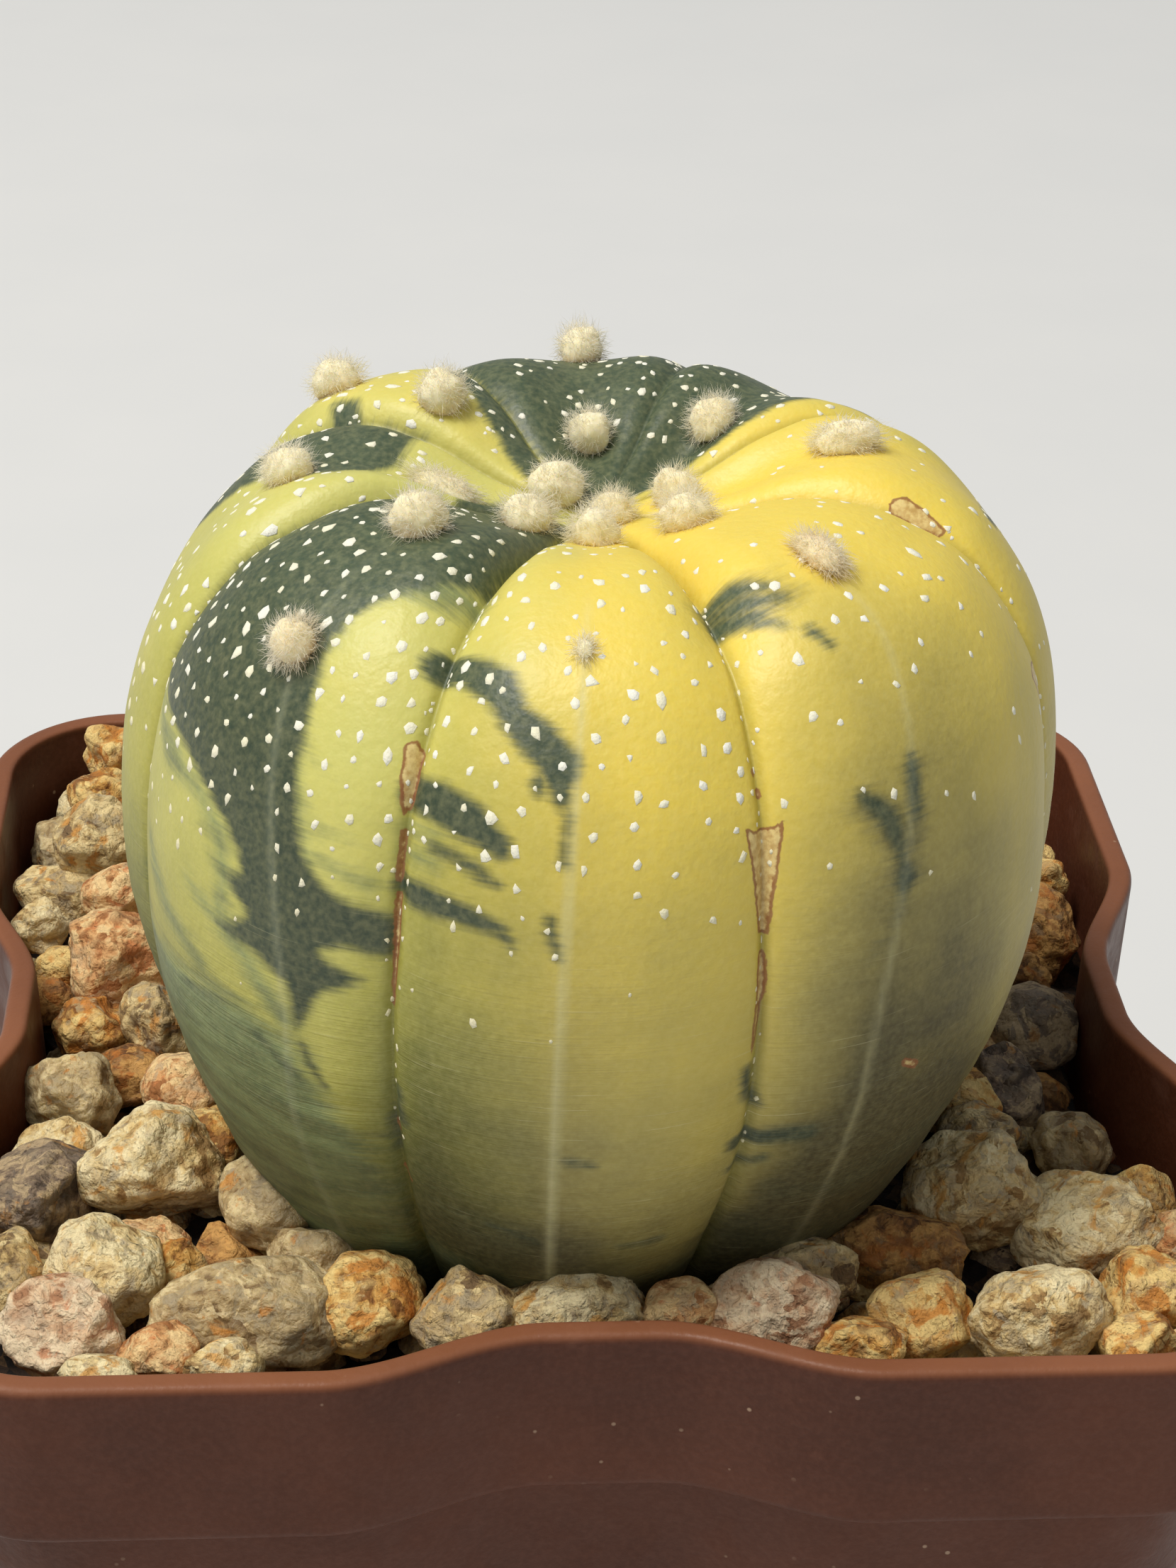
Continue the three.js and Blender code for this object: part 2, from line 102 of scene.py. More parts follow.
KEEL_DRIFTS = (0, 0, 8.5, -0.5, -8, 0, 0, 0)  # degrees by which it leaves the crest low down
TUFTS = (
    (0.05, 0.22, 0.405), (0.135, 0.37), (0.085, 0.27, 0.465), (0.095, 0.41), (0.03, 0.12, 0.34),
    (0.07, 0.28), (0.185,), (0.125, 0.37))

# Each listed stone is x, y, height of its middle, its length, width and height, and kind.
STONES = (
    (-27, 26.5, 1.5, 4, 4, 4, "ochre"), (-27.5, 22.5, 0.5, 4, 3.5, 3.5, "ochre"),
    (-27.5, 18.5, -0.5, 5, 5, 5, "granite"), (-31, 25.5, -5, 3.5, 4, 3.5, "amber"),
    (-30, 17, -3.2, 5, 4.5, 4, "granite"), (-31, 13.5, -3.5, 3, 3, 3, "cream"),
    (-26, 12, -0.5, 4, 4, 3.5, "rust"), (-25.8, 7, -2, 6.5, 6, 6, "rust"),
    (-29.5, 10, -5, 3.5, 3.5, 3.5, "ochre"), (-27, 3, -4, 4.5, 4.5, 4, "ochre"),
    (-23.3, 1.6, -3, 4, 4.5, 4.5, "granite"), (-28, -4, -4, 5, 5.5, 5, "amber"),
    (-24.8, -1.5, -4.5, 4.5, 4, 3.5, "umber"), (-21.3, -6, -2.5, 4.6, 4.5, 4, "rust"),
    (-22.8, -13.4, -2, 8, 6, 6, "cream"), (-28.8, -14.5, -3.5, 6, 8, 6, "slate"),
    (-19.7, -10.8, -2.5, 4, 4, 3.5, "ochre"), (-16, -16.2, -2.6, 6.2, 5.5, 5, "amber"),
    (-24.7, -22, -2.5, 5.5, 6, 5.5, "cream"), (-26.3, -27, -2.6, 6, 5.5, 5, "pink"),
    (-29.6, -22, -3, 3.5, 5, 4, "granite"), (-17.3, -26.2, -2.5, 9.2, 6, 5, "amber"),
    (-11.4, -24.8, -2.9, 6, 5.5, 4.6, "ochre"), (-21.5, -28.8, -2.8, 4, 3.5, 3, "rust"),
    (-19, -18.4, -4.6, 4, 3.5, 3.5, "umber"), (-21.2, -21.2, -3.4, 3, 3, 3, "ochre"),
    (-6.6, -26.8, -2.3, 5, 4.5, 4, "granite"), (-1.3, -26.2, -2.4, 7.6, 4.6, 4.4, "cream"),
    (4.4, -26.6, -2.3, 3.4, 3.2, 3, "rust"), (8.8, -26.6, -2.7, 7.6, 5.4, 5, "pink"),
    (10.4, -23.4, -2.6, 7, 3.6, 3, "granite"), (16, -20, -3.6, 7.2, 5.2, 4.4, "umber"),
    (21.2, -15.8, -3, 7.2, 6.4, 6.2, "cream"), (26.8, -18, -4, 8.4, 6.4, 5.2, "cream"),
    (22.6, -26.4, -3, 6.4, 5.6, 5, "cream"), (28.6, -24, -4, 5, 5, 4.4, "ochre"),
    (27.4, -28.6, -3.6, 4, 3.6, 3.4, "ochre"), (17, -26, -3.6, 5.6, 4.6, 4, "ochre"),
    (13.2, -28.6, -3.4, 4.4, 3.6, 3, "ochre"), (27.6, -9, -5.4, 4.4, 4.4, 4, "amber"),
    (24.4, -3.8, -5, 4.8, 6, 5, "slate"), (27.6, 2.6, -5, 5.4, 5.8, 5, "slate"),
    (30, 13.5, -5, 4, 6, 5, "umber"), (30.6, 19, -4.4, 3.4, 3.8, 3.6, "ochre"),
    (27.6, 8.2, -5, 3.6, 3.4, 3.4, "umber"))
GRAVEL_SEED = 4127
GRAVEL_DARTS = 2600
SMALLEST_STONE = 4.4
LARGEST_STONE = 6.8
STONE_SPACING = 0.76
STONE_FLATNESS = 0.88
STONE_LEVEL_AT_PLANT = -3.4
STONE_LEVEL_AT_WALL = -5.2
PLANT_RADIUS_IN_GRAVEL = 19.0
SLOPE_WIDTH = 13.0
CORNER_REACH = 44.5


# ---- Numbers ---------------------------------------------------------------------------------

def draws_from(seed):
    """A repeatable stream of numbers from 0 to 1: each state is 48271 times the last one, modulo
    the prime 2147483647."""
    state = seed
    while True:
        state = state * 48271 % 2147483647
        yield state / 2147483647


def smooth_step(value, low, high):
    """0 below low, 1 above high and 3t^2 - 2t^3 between them."""
    t = np.clip((value - low) / (high - low), 0, 1)
    return t * t * (3 - 2 * t)


def unit(vectors):
    """Vectors scaled to length 1."""
    return vectors / (np.linalg.norm(vectors, axis=-1, keepdims=True) + 1e-12)


def cell_value(cells, seed):
    """A repeatable number from -1 to 1 for each whole-number cell, from mixing its bits."""
    bits = cells[..., 0] * 73856093 ^ cells[..., 1] * 19349663 ^ cells[..., 2] * 83492791
    bits = (bits + seed * 9973) & 0x7FFFFFFF
    bits = ((bits ^ (bits >> 13)) * 1274126177) & 0x7FFFFFFF
    bits = bits ^ (bits >> 16)
    return (bits & 0xFFFFF) / 0x7FFFF - 1


def lumps(points, size, seed):
    """Smooth noise from -1 to 1 with features of that size: values at the corners of each cell,
    blended by 3t^2 - 2t^3 of the place in the cell along each direction."""
    place = np.asarray(points) / size
    cell = np.floor(place).astype(np.int64)
    t = place - cell
    t = t * t * (3 - 2 * t)
    total = 0.0
    for corner in np.ndindex(2, 2, 2):
        share = np.prod(np.where(corner, t, 1 - t), axis=-1)
        total = total + share * cell_value(cell + np.array(corner), seed)
    return total


def layered(points, *layers):
    """The sum of height times lumps over layers of (height, size, seed)."""
    return sum(height * lumps(points, size, seed) for height, size, seed in layers)


# ---- Meshes ----------------------------------------------------------------------------------

def face_rows(faces, sides):
    """Faces as one array with a row of corner numbers for each."""
    return np.asarray(faces, np.int64).reshape(-1, sides)


def make_piece(name, points, quads=(), triangles=(), fields=None, corner_uv=None, smooth=True):
    """A mesh object from points in millimetres, its four- and three-sided faces, one number per
    point for each named field, and a place in the unrolled skin per face corner."""
    quads, triangles = face_rows(quads, 4), face_rows(triangles, 3)
    corners = np.concatenate([quads.ravel(), triangles.ravel()]).astype(np.int32)
    starts = np.concatenate([4 * np.arange(len(quads)),
                             4 * len(quads) + 3 * np.arange(len(triangles))]).astype(np.int32)
    mesh = bpy.data.meshes.new(name)
    mesh.vertices.add(len(points))
    mesh.vertices.foreach_set("co", (np.asarray(points) * MM).astype(np.float32).ravel())
    mesh.loops.add(len(corners))
    mesh.loops.foreach_set("vertex_index", corners)
    mesh.polygons.add(len(starts))
    mesh.polygons.foreach_set("loop_start", starts)
    mesh.polygons.foreach_set("use_smooth", np.full(len(starts), smooth))
    mesh.update(calc_edges=True)
    for field, values in (fields or {}).items():
        layer = mesh.attributes.new(field, "FLOAT", "POINT")
        layer.data.foreach_set("value", np.asarray(values, np.float32).ravel())
    if corner_uv is not None:
        layer = mesh.uv_layers.new(name="UVMap")
        layer.data.foreach_set("uv", np.asarray(corner_uv, np.float32).ravel())
    piece = bpy.data.objects.new(name, mesh)
    bpy.context.scene.collection.objects.link(piece)
    return piece


def shell_faces(rows, columns):
    """Faces of a closed shell whose points are rows of columns, from the top down and
    counterclockwise seen from above, then a top and a bottom pole."""
    row = np.arange(rows - 1)[:, None]
    column = np.arange(columns)[None, :]
    after = (column + 1) % columns
    quads = np.stack(np.broadcast_arrays(
        row * columns + column, (row + 1) * columns + column,
        (row + 1) * columns + after, row * columns + after), -1).reshape(-1, 4)
    j = np.arange(columns)
    k = (j + 1) % columns
    top = np.full(columns, rows * columns)
    last = (rows - 1) * columns
    caps = np.concatenate([np.stack([top, j, k], -1),
                           np.stack([last + j, top + 1, last + k], -1)])
    return quads, caps


def ball_directions(rows, columns):
    """Unit vectors in rows from the top down and columns counterclockwise, then both poles."""
    down = (np.arange(rows) + 1) * math.pi / (rows + 1)
    turn = np.arange(columns) * 2 * math.pi / columns
    ring = np.sin(down)[:, None]
    grid = np.stack([ring * np.cos(turn), ring * np.sin(turn),
                     np.broadcast_to(np.cos(down)[:, None], (rows, columns))], -1)
    return np.concatenate([grid.reshape(-1, 3), [(0, 0, 1)], [(0, 0, -1)]])


def gather(parts):
    """Joins (points, quads, triangles, fields) parts into one set, with the faces renumbered."""
    offset = 0
    points, quads, triangles, fields = [], [], [], {}
    for part_points, part_quads, part_triangles, part_fields in parts:
        points.append(part_points)
        quads.append(face_rows(part_quads, 4) + offset)
        triangles.append(face_rows(part_triangles, 3) + offset)
        for field, values in part_fields.items():
            fields.setdefault(field, []).append(np.broadcast_to(values, len(part_points)))
        offset += len(part_points)
    joined = {field: np.concatenate(values) for field, values in fields.items()}
    return np.concatenate(points), np.concatenate(quads), np.concatenate(triangles), joined


def settle(piece, finish, slot, *nodes):
    """Gives a piece its finish, lets it ride on the pot and stand for the CAD nodes; the slot is
    not used.
    """
    piece.data.materials.append(finish)
    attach(piece, BODY)
    if nodes:
        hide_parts(*nodes)
    return piece


# ---- Finishes --------------------------------------------------------------------------------

def tone(red, green, blue):
    """A screen colour from 0 to 255 as linear light."""
    screen = np.array([red, green, blue]) / 255
    linear = np.where(screen <= 0.04045, screen / 12.92, ((screen + 0.055) / 1.055) ** 2.4)
    return (*linear, 1.0)


class Finish:
    """A material with one shader, built up by short calls that each add a node."""

    def __init__(self, name, roughness=0.5, **sockets):
        self.material = bpy.data.materials.new(name)
        self.material.use_nodes = True
        self.tree = self.material.node_tree
        self.shader = self.tree.nodes["Principled BSDF"]
        self.shader.inputs["Roughness"].default_value = roughness
        for socket, value in sockets.items():
            self.shader.inputs[socket.replace("_", " ")].default_value = value
        self.place = self.add("ShaderNodeTexCoord").outputs["Object"]

    def add(self, kind, settings=None, **inputs):
        """A node with its settings and inputs; an input is named, or i and its number."""
        node = self.tree.nodes.new(kind)
        for key, value in (settings or {}).items():
            setattr(node, key, value)
        for key, value in inputs.items():
            numbered = key[0] == "i" and key[1:].isdigit()
            self.feed(node.inputs[int(key[1:]) if numbered else key.replace("_", " ")], value)
        return node

    def feed(self, socket, value):
        """Links another node's output to a socket, or sets the socket's value."""
        if isinstance(value, bpy.types.NodeSocket):
            self.tree.links.new(value, socket)
        else:
            socket.default_value = value

    def field(self, name):
        """A number stored on the mesh."""
        return self.add("ShaderNodeAttribute", {"attribute_name": name}).outputs["Fac"]

    def math(self, operation, first, second=0.0):
        """One sum on two numbers."""
        return self.add("ShaderNodeMath", {"operation": operation}, i0=first, i1=second).outputs[0]

    def times(self, first, second):
        """The product of two numbers."""
        return self.math("MULTIPLY", first, second)

    def total(self, first, *others):
        """The sum of all these numbers."""
        for other in others:
            first = self.math("ADD", first, other)
        return first

    def swing(self, value, depth):
        """A value from 0 to 1 made to run round zero: value less a half, times depth."""
        return self.times(self.math("SUBTRACT", value, 0.5), depth)

    def scaled(self, vector, x, y, z, shift=(0, 0, 0)):
        """A vector stretched along its axes and moved."""
        return self.add("ShaderNodeMapping", Vector=vector, Scale=(x, y, z),
                        Location=shift).outputs[0]

    def noise(self, size, detail=3.0, rough=0.55, vector=None, warp=0.0):
        """Cloudy noise from 0 to 1 with features of that size in millimetres."""
        return self.add("ShaderNodeTexNoise", Vector=vector or self.place, Scale=1 / (size * MM),
                        Detail=detail, Roughness=rough, Distortion=warp).outputs["Fac"]

    def streaks(self, vector, detail=3.0, rough=0.6):
        """Noise from 0 to 1 on a vector that is already scaled."""
        return self.add("ShaderNodeTexNoise", Vector=vector, Scale=1.0, Detail=detail,
                        Roughness=rough).outputs["Fac"]

    def cells(self, size, feature="F1", vector=None, output="Distance"):
        """Cell noise with cells of that size in millimetres."""
        node = self.add("ShaderNodeTexVoronoi", {"feature": feature},
                        Vector=vector or self.place, Scale=1 / (size * MM))
        return node.outputs[output]

    def ease(self, value, low, high, start=0.0, end=1.0):
        """Value smoothly taken from low..high to start..end."""
        node = self.add("ShaderNodeMapRange", {"interpolation_type": "SMOOTHSTEP"},
                        i0=value, i1=low, i2=high, i3=start, i4=end)
        return node.outputs[0]

    def cell_tone(self, size, vector=None, channel=0):
        """A number from 0 to 1 that is the same all over each cell."""
        colour = self.cells(size, vector=vector, output="Color")
        return self.add("ShaderNodeSeparateColor", Color=colour).outputs[channel]

    def mix(self, share, first, second, blend="MIX"):
        """The first colour, with the second laid over it by a share."""
        node = self.add("ShaderNodeMix", {"data_type": "RGBA", "blend_type": blend},
                        i0=share, i6=first, i7=second)
        return node.outputs[2]

    def ramp(self, value, *stops):
        """Colour along a scale of (place, colour) stops."""
        node = self.add("ShaderNodeValToRGB", Fac=value)
        elements = node.color_ramp.elements
        while len(elements) < len(stops):
            elements.new(0.5)
        for element, (place, colour) in zip(elements, stops):
            element.position = place
            element.color = colour
        return node.outputs[0]

    def bump(self, height, depth, normal=None):
        """A normal from a height that runs from 0 to 1 over that depth in millimetres."""
        node = self.add("ShaderNodeBump", Strength=1.0, Distance=depth * MM, Height=height)
        if normal is not None:
            self.feed(node.inputs["Normal"], normal)
        return node.outputs[0]

    def done(self, colour, roughness=None, normal=None):
        """The material, once its shader has these."""
        self.feed(self.shader.inputs["Base Color"], colour)
        if roughness is not None:
            self.feed(self.shader.inputs["Roughness"], roughness)
        if normal is not None:
            self.feed(self.shader.inputs["Normal"], normal)
        return self.material


# ---- The plant's surface ---------------------------------------------------------------------

def crest_place(s):
    """Radius and height along a rib's crest: a Catmull-Rom curve through CREST_PROFILE, whose
    end points count twice."""
    count = len(CREST_PROFILE) - 1
    place = np.clip(s, 0, 1) * count
    low = np.minimum(np.floor(place).astype(int), count)
    t = (place - low)[..., None]
    before = CREST_PROFILE[np.maximum(low - 1, 0)]
    start = CREST_PROFILE[low]
    end = CREST_PROFILE[np.minimum(low + 1, count)]
    after = CREST_PROFILE[np.minimum(low + 2, count)]
    out, into = (end - before) / 2, (after - start) / 2
    return ((2 * start - 2 * end + out + into) * t ** 3
            + (3 * end - 3 * start - 2 * out - into) * t ** 2 + out * t + start)


def turned(theta, radius, height):
    """A point at a radius and height on the leaning plant, fuller at the front than at the back,
    with its crown tilted."""
    angle = np.radians(theta)
    full = radius * (1 + FRONT_SWELL * np.cos(angle) + SIDE_SWELL * np.sin(angle))
    x = full * np.sin(angle)
    y = -full * np.cos(angle)
    return np.stack([AXIS[0] + x + LEAN[0] * height, AXIS[1] + y + LEAN[1] * height,
                     POT_HEIGHT + height + TILT[0] * x + TILT[1] * y], -1)


GROOVE_RING = (*GROOVES, GROOVES[0] + 360)
# Angle, step from groove (0) to crest (1), and valley of each groove and crest, in order.
TURN_NODES = np.array(sorted(
    [(angle, 0.0, share) for angle, share in zip(GROOVE_RING, (*GROOVE_SHARES, GROOVE_SHARES[0]))]
    + [(angle, 1.0, 0.0) for angle in CRESTS]))
ARC_S = np.linspace(0, 1, 800)
ARC_MM = np.concatenate([[0], np.cumsum(np.linalg.norm(np.diff(crest_place(ARC_S), axis=0),
                                                       axis=1))])


def wrapped(theta):
    """Angles brought into the range from the first groove round to itself."""
    return (np.asarray(theta, float) - GROOVES[0]) % 360 + GROOVES[0]


def rib_at(theta):
    """The valley, 0 on a crest and its share in a groove, in proportion to the angle between them,
    and the swell, which rises to its rib's by 3t^2 - 2t^3 of the step."""
    angle = wrapped(theta)
    step = np.interp(angle, TURN_NODES[:, 0], TURN_NODES[:, 1])
    valley = np.interp(angle, TURN_NODES[:, 0], TURN_NODES[:, 2])
    rib = np.searchsorted(GROOVES, angle, side="right") - 1
    return valley, np.array(RIB_SWELL)[rib] * smooth_step(step, 0, 1)


def groove_distance(theta, s):
    """Millimetres to the nearest groove, round the plant."""
    away = np.abs(wrapped(theta)[..., None] - np.array(GROOVE_RING)).min(-1)
    return np.radians(away) * crest_place(s)[..., 0]


def keel_at(theta, s, width):
    """How much of its crest line each rib shows: KEELS times a bell curve round the crest, from a
    quarter of the way down, where some lines drift to one side."""
    lines = np.array(CRESTS) + np.array(KEEL_DRIFTS) * smooth_step(s, 0.42, 0.72)[..., None]
    away = np.radians(wrapped(theta)[..., None] - lines) * crest_place(s)[..., :1]
    lines = (np.array(KEELS) * np.exp(-(away / width) ** 2)).max(-1)
    return lines * smooth_step(s, 0.28, 0.48)


SKIN_UNEVEN = ((0.14, 7.0, 3), (0.04, 2.6, 5))  # height and size in mm, and seed
CREST_EDGE = (0.06, 0.8)  # height and width in mm
SLIT = (0.3, 0.3)  # depth and width in mm
FOLDS = (0.05, 0.75, 8)
FOLD_STRETCH = np.array([0.12, 0.12, 1.0])  # draws the folds out round the plant


def plant_skin(theta, s):
    """The skin: the crest's profile, pushed in by the groove depth times valley^2.6, or up to
    valley^4.6 at the crown, and out by the rib's swell, with a soft unevenness, a low edge along
    the crest, a slit in the groove and fine folds near the base."""
    theta = np.asarray(theta, float)
    s = np.asarray(s, float)
    crest = crest_place(s)
    way = unit(crest_place(np.minimum(s + 1e-4, 1)) - crest_place(np.maximum(s - 1e-4, 0)))
    valley, swell = rib_at(theta)
    power = GROOVE_POWER + CROWN_POWER * (1 - smooth_step(s, *NARROW_TO))
    depth = np.interp(s, GROOVE_DEPTH[:, 0], GROOVE_DEPTH[:, 1]) * valley ** power
    depth = depth - swell * smooth_step(s, 0, SWELL_FULL) * (1 - smooth_step(s, *SWELL_FADES))
    place = turned(theta, crest[..., 0], crest[..., 1])
    uneven = layered(place, *SKIN_UNEVEN)
    edge = CREST_EDGE[0] * keel_at(theta, s, CREST_EDGE[1])
    slit = -SLIT[0] * np.exp(-(groove_distance(theta, s) / SLIT[1]) ** 2) * smooth_step(s, 0.3, 0.5)
    folds = layered(place * FOLD_STRETCH, FOLDS) * smooth_step(s, 0.6, 0.82)
    depth = depth - (uneven + edge + slit + folds) * smooth_step(s, 0.0, 0.08)
    return turned(theta, crest[..., 0] + depth * way[..., 1], crest[..., 1] - depth * way[..., 0])


def skin_frame(theta, s):
    """A point on the skin with its outward, downward and roundward directions."""
    point = plant_skin(theta, s)
    round_way = unit(plant_skin(theta + 0.4, s) - plant_skin(theta - 0.4, s))
    down = unit(plant_skin(theta, s + 0.006) - plant_skin(theta, np.maximum(s - 0.006, 0.001)))
    outward = unit(np.cross(down, round_way))
    return point, outward, unit(np.cross(round_way, outward)), round_way


# ---- Skin markings ---------------------------------------------------------------------------
# Dark green patches as outlines of (angle, s) corners.

PATCHES = (
    # front left rib: one great patch over the crown and down the crest
    ((-74.6, 0.05), (-24.4, 0.05), (-24.4, 0.30), (-27, 0.322), (-31, 0.35), (-35, 0.376),
     (-38, 0.40), (-40, 0.425), (-40.5, 0.461), (-39, 0.513), (-38, 0.546), (-37, 0.573),
     (-35.5, 0.594), (-33, 0.605), (-30, 0.612), (-24.4, 0.618), (-24.4, 0.643), (-30, 0.64),
     (-32.5, 0.645), (-31.5, 0.65), (-27.5, 0.657), (-32, 0.667), (-34.2, 0.688), (-35.2, 0.692),
     (-36.7, 0.669), (-40.5, 0.659), (-46, 0.653), (-43, 0.642), (-42.3, 0.638), (-44.3, 0.63),
     (-46.2, 0.621), (-43.4, 0.616), (-44.7, 0.604), (-46.5, 0.595), (-50.5, 0.583), (-57, 0.57),
     (-66, 0.562), (-74.6, 0.553)),
    # left rib: along its crest and far side, and close to the crown
    ((-117, 0.2), (-97, 0.2), (-90, 0.24), (-88, 0.3), (-91, 0.36), (-97, 0.40), (-99, 0.45),
     (-100, 0.5), (-103, 0.53), (-110, 0.60), (-117, 0.58)),
    ((-96, 0.04), (-74.5, 0.04), (-74.5, 0.13), (-80, 0.125), (-88, 0.11), (-95, 0.09)),
    # back left rib: its far side, and a spot on its near side
    ((-151.5, 0.02), (-124, 0.02), (-128, 0.08), (-135, 0.13), (-140, 0.2), (-143, 0.3),
     (-145, 0.5), (-146, 0.66), (-151.5, 0.7)),
    ((-122, 0.385), (-121.5, 0.34), (-111, 0.28), (-107.5, 0.32), (-113, 0.36)),
    # back right and back ribs
    ((126, 0.02), (209.5, 0.02), (209.5, 0.80), (200, 0.72), (192, 0.7), (184, 0.76), (178, 0.8),
     (172, 0.71), (160, 0.73), (150, 0.78), (149, 0.69), (141, 0.66), (136, 0.68), (137, 0.6),
     (128, 0.57), (131, 0.52), (126, 0.46), (120, 0.42), (124, 0.36), (122.5, 0.30), (122.5, 0.22),
     (123.5, 0.152), (127.5, 0.119)),
)

# Dark green streaks as (angle, s, half width in mm) along their middle.
STREAKS = (
    ((-25, 0.435, 1.05), (-20.5, 0.438, 0.95), (-16, 0.45, 1.0), (-14, 0.467, 0.8)),
    ((-14, 0.47, 0.7), (-10, 0.488, 1.0), (-7.3, 0.503, 1.0), (-7, 0.516, 0.7),
     (-6.7, 0.528, 0.4)),
    ((-9.3, 0.518, 0.35), (-9.3, 0.522, 0.35)),
    ((-23.8, 0.538, 0.95), (-20.3, 0.54, 1.05), (-16.3, 0.548, 0.95), (-12.7, 0.56, 0.6)),
    ((-20.8, 0.568, 0.28), (-17.8, 0.571, 0.3), (-15.4, 0.575, 0.36), (-12.8, 0.582, 0.18)),
    ((-23.8, 0.598, 0.65), (-19.8, 0.60, 0.7), (-15.6, 0.603, 0.6), (-12.2, 0.607, 0.32),
     (-10.8, 0.615, 0.15)),
    ((-5.8, 0.538, 0.18), (-6, 0.552, 0.22), (-6, 0.566, 0.22)),
    ((-7, 0.598, 0.28), (-6.7, 0.608, 0.34), (-6, 0.618, 0.15)),
    ((17.4, 0.32, 0.5), (21, 0.324, 0.5), (25.5, 0.345, 0.3)),
    ((17.6, 0.342, 0.4), (22, 0.354, 0.4), (27, 0.37, 0.2)),
    ((17.2, 0.362, 0.65), (20.5, 0.37, 0.5), (22.5, 0.376, 0.2)),
    ((21, 0.38, 0.2), (24.5, 0.398, 0.2)),
    ((27.5, 0.416, 0.35), (29, 0.434, 0.22)),
    ((27.5, 0.547, 0.26), (29.3, 0.556, 0.42), (30.5, 0.566, 0.5), (31, 0.578, 0.32)),
    ((34.4, 0.533, 0.28), (34.1, 0.549, 0.36), (34, 0.566, 0.36)),
    ((31.2, 0.58, 0.24), (31.6, 0.592, 0.24), (32, 0.6, 0.62), (31.6, 0.606, 0.42)),
    ((15.2, 0.7, 0.3), (15.4, 0.716, 0.36), (17, 0.725, 0.28)),
    ((15.2, 0.752, 0.55), (19, 0.75, 0.62), (23.4, 0.75, 0.55)),
    ((15.4, 0.775, 0.25), (19, 0.768, 0.32)),
    ((-23.6, 0.72, 0.25), (-23.4, 0.742, 0.3)),
    ((-24.6, 0.746, 0.15), (-24.6, 0.772, 0.2)),
    ((-4, 0.744, 0.16), (-1.5, 0.746, 0.22)),
    ((-13, 0.807, 0.12), (-7.5, 0.817, 0.2)),
    ((3, 0.824, 0.1), (8, 0.823, 0.2)),
    # soft dark streaks in the washed-out area
    ((-56.5, 0.707, 0.02), (-50, 0.701, 0.15), (-43.5, 0.695, 0.02)),
    ((-41, 0.707, 0.1), (-38, 0.715, 0.16), (-35, 0.724, 0.05)),
    ((-34.6, 0.703, 0.05), (-33.6, 0.714, 0.14), (-32, 0.726, 0.02)),
    ((-40.5, 0.742, 0.0), (-37.5, 0.747, 0.1), (-35, 0.752, 0.0)),
    ((-27.5, 0.759, 0.05), (-24.4, 0.761, 0.1)),
    ((-47, 0.653, 0.0), (-43, 0.657, 0.05)),
    ((88, 0.47, 0.5), (95, 0.49, 0.7), (101, 0.52, 0.3)),
    ((98, 0.572, 0.4), (104, 0.588, 1.5), (107, 0.615, 1.0), (105, 0.64, 0.3)),
    ((97, 0.626, 0.3), (102, 0.64, 0.8), (104, 0.67, 0.4)),
    ((112.5, 0.6, 0.7), (113.5, 0.7, 0.9), (113, 0.8, 0.5)),
)

# Washed-out green: an area low on the front left rib, as an outline of (angle, s) corners, and
# streaks, mostly low on the plant, with soft edges round the dark ones.
FAINT_PATCHES = (
    ((-74.6, 0.69), (-63, 0.70), (-55, 0.694), (-48.5, 0.69), (-42, 0.692), (-35.5, 0.702),
     (-34, 0.718), (-31.5, 0.735), (-28.5, 0.765), (-26.5, 0.81), (-26, 0.93), (-74.6, 0.93)),
)
FAINT_STREAKS = (
    ((-66, 0.575, 0.3), (-53, 0.585, 0.4), (-48, 0.60, 0.4), (-46, 0.625, 0.5), (-47, 0.645, 0.4),
     (-42, 0.665, 0.6), (-37, 0.69, 0.6)),
    ((-40.5, 0.43, -0.1), (-40, 0.5, -0.1), (-38, 0.555, 0.1), (-35, 0.595, 0.2)),
    ((-38, 0.372, 0.6), (-32, 0.355, 0.9), (-26, 0.338, 0.8)),
    ((-37, 0.535, -0.3), (-32, 0.538, -0.4)),
    ((-36, 0.572, -0.1), (-31, 0.576, -0.2), (-28, 0.58, -0.5)),
    ((-34, 0.59, 0.1), (-28, 0.6, 0.1)),
    ((-73, 0.565, 0.3), (-62, 0.582, 0.2), (-52, 0.59, 0.1)),
    ((-66, 0.65, 0.3), (-58, 0.67, 0.4), (-50, 0.684, 0.3)),
    ((-53, 0.64, 0.2), (-46.5, 0.652, 0.4), (-41, 0.668, 0.6)),
    ((-42, 0.70, 0.5), (-37, 0.704, 0.5), (-34, 0.715, 0.3)),
    ((-24, 0.562, 0.3), (-20.5, 0.563, 0.3)),
    ((-24, 0.577, 0.22), (-20.5, 0.577, 0.22)),
    ((-21, 0.86, 0.6), (-8, 0.875, 0.9), (4, 0.87, 0.5)),
    ((17.4, 0.336, 1.0), (22, 0.35, 1.1), (26.5, 0.362, 0.7)),
    ((27.5, 0.55, 0.5), (31, 0.57, 0.8), (32, 0.6, 0.7)),
    ((34.3, 0.54, 0.2), (33.5, 0.575, 0.5), (31, 0.62, 0.3), (27, 0.65, -0.2)),
    ((22, 0.80, 0.7), (34, 0.81, 1.2), (48, 0.80, 1.2)),
    ((20, 0.84, 1.4), (36, 0.86, 1.8), (56, 0.84, 1.8)),
    ((76, 0.78, 1.2), (92, 0.8, 2.0), (108, 0.8, 1.4)),
    ((-108, 0.72, 1.2), (-92, 0.76, 1.8), (-80, 0.78, 1.0)),
)

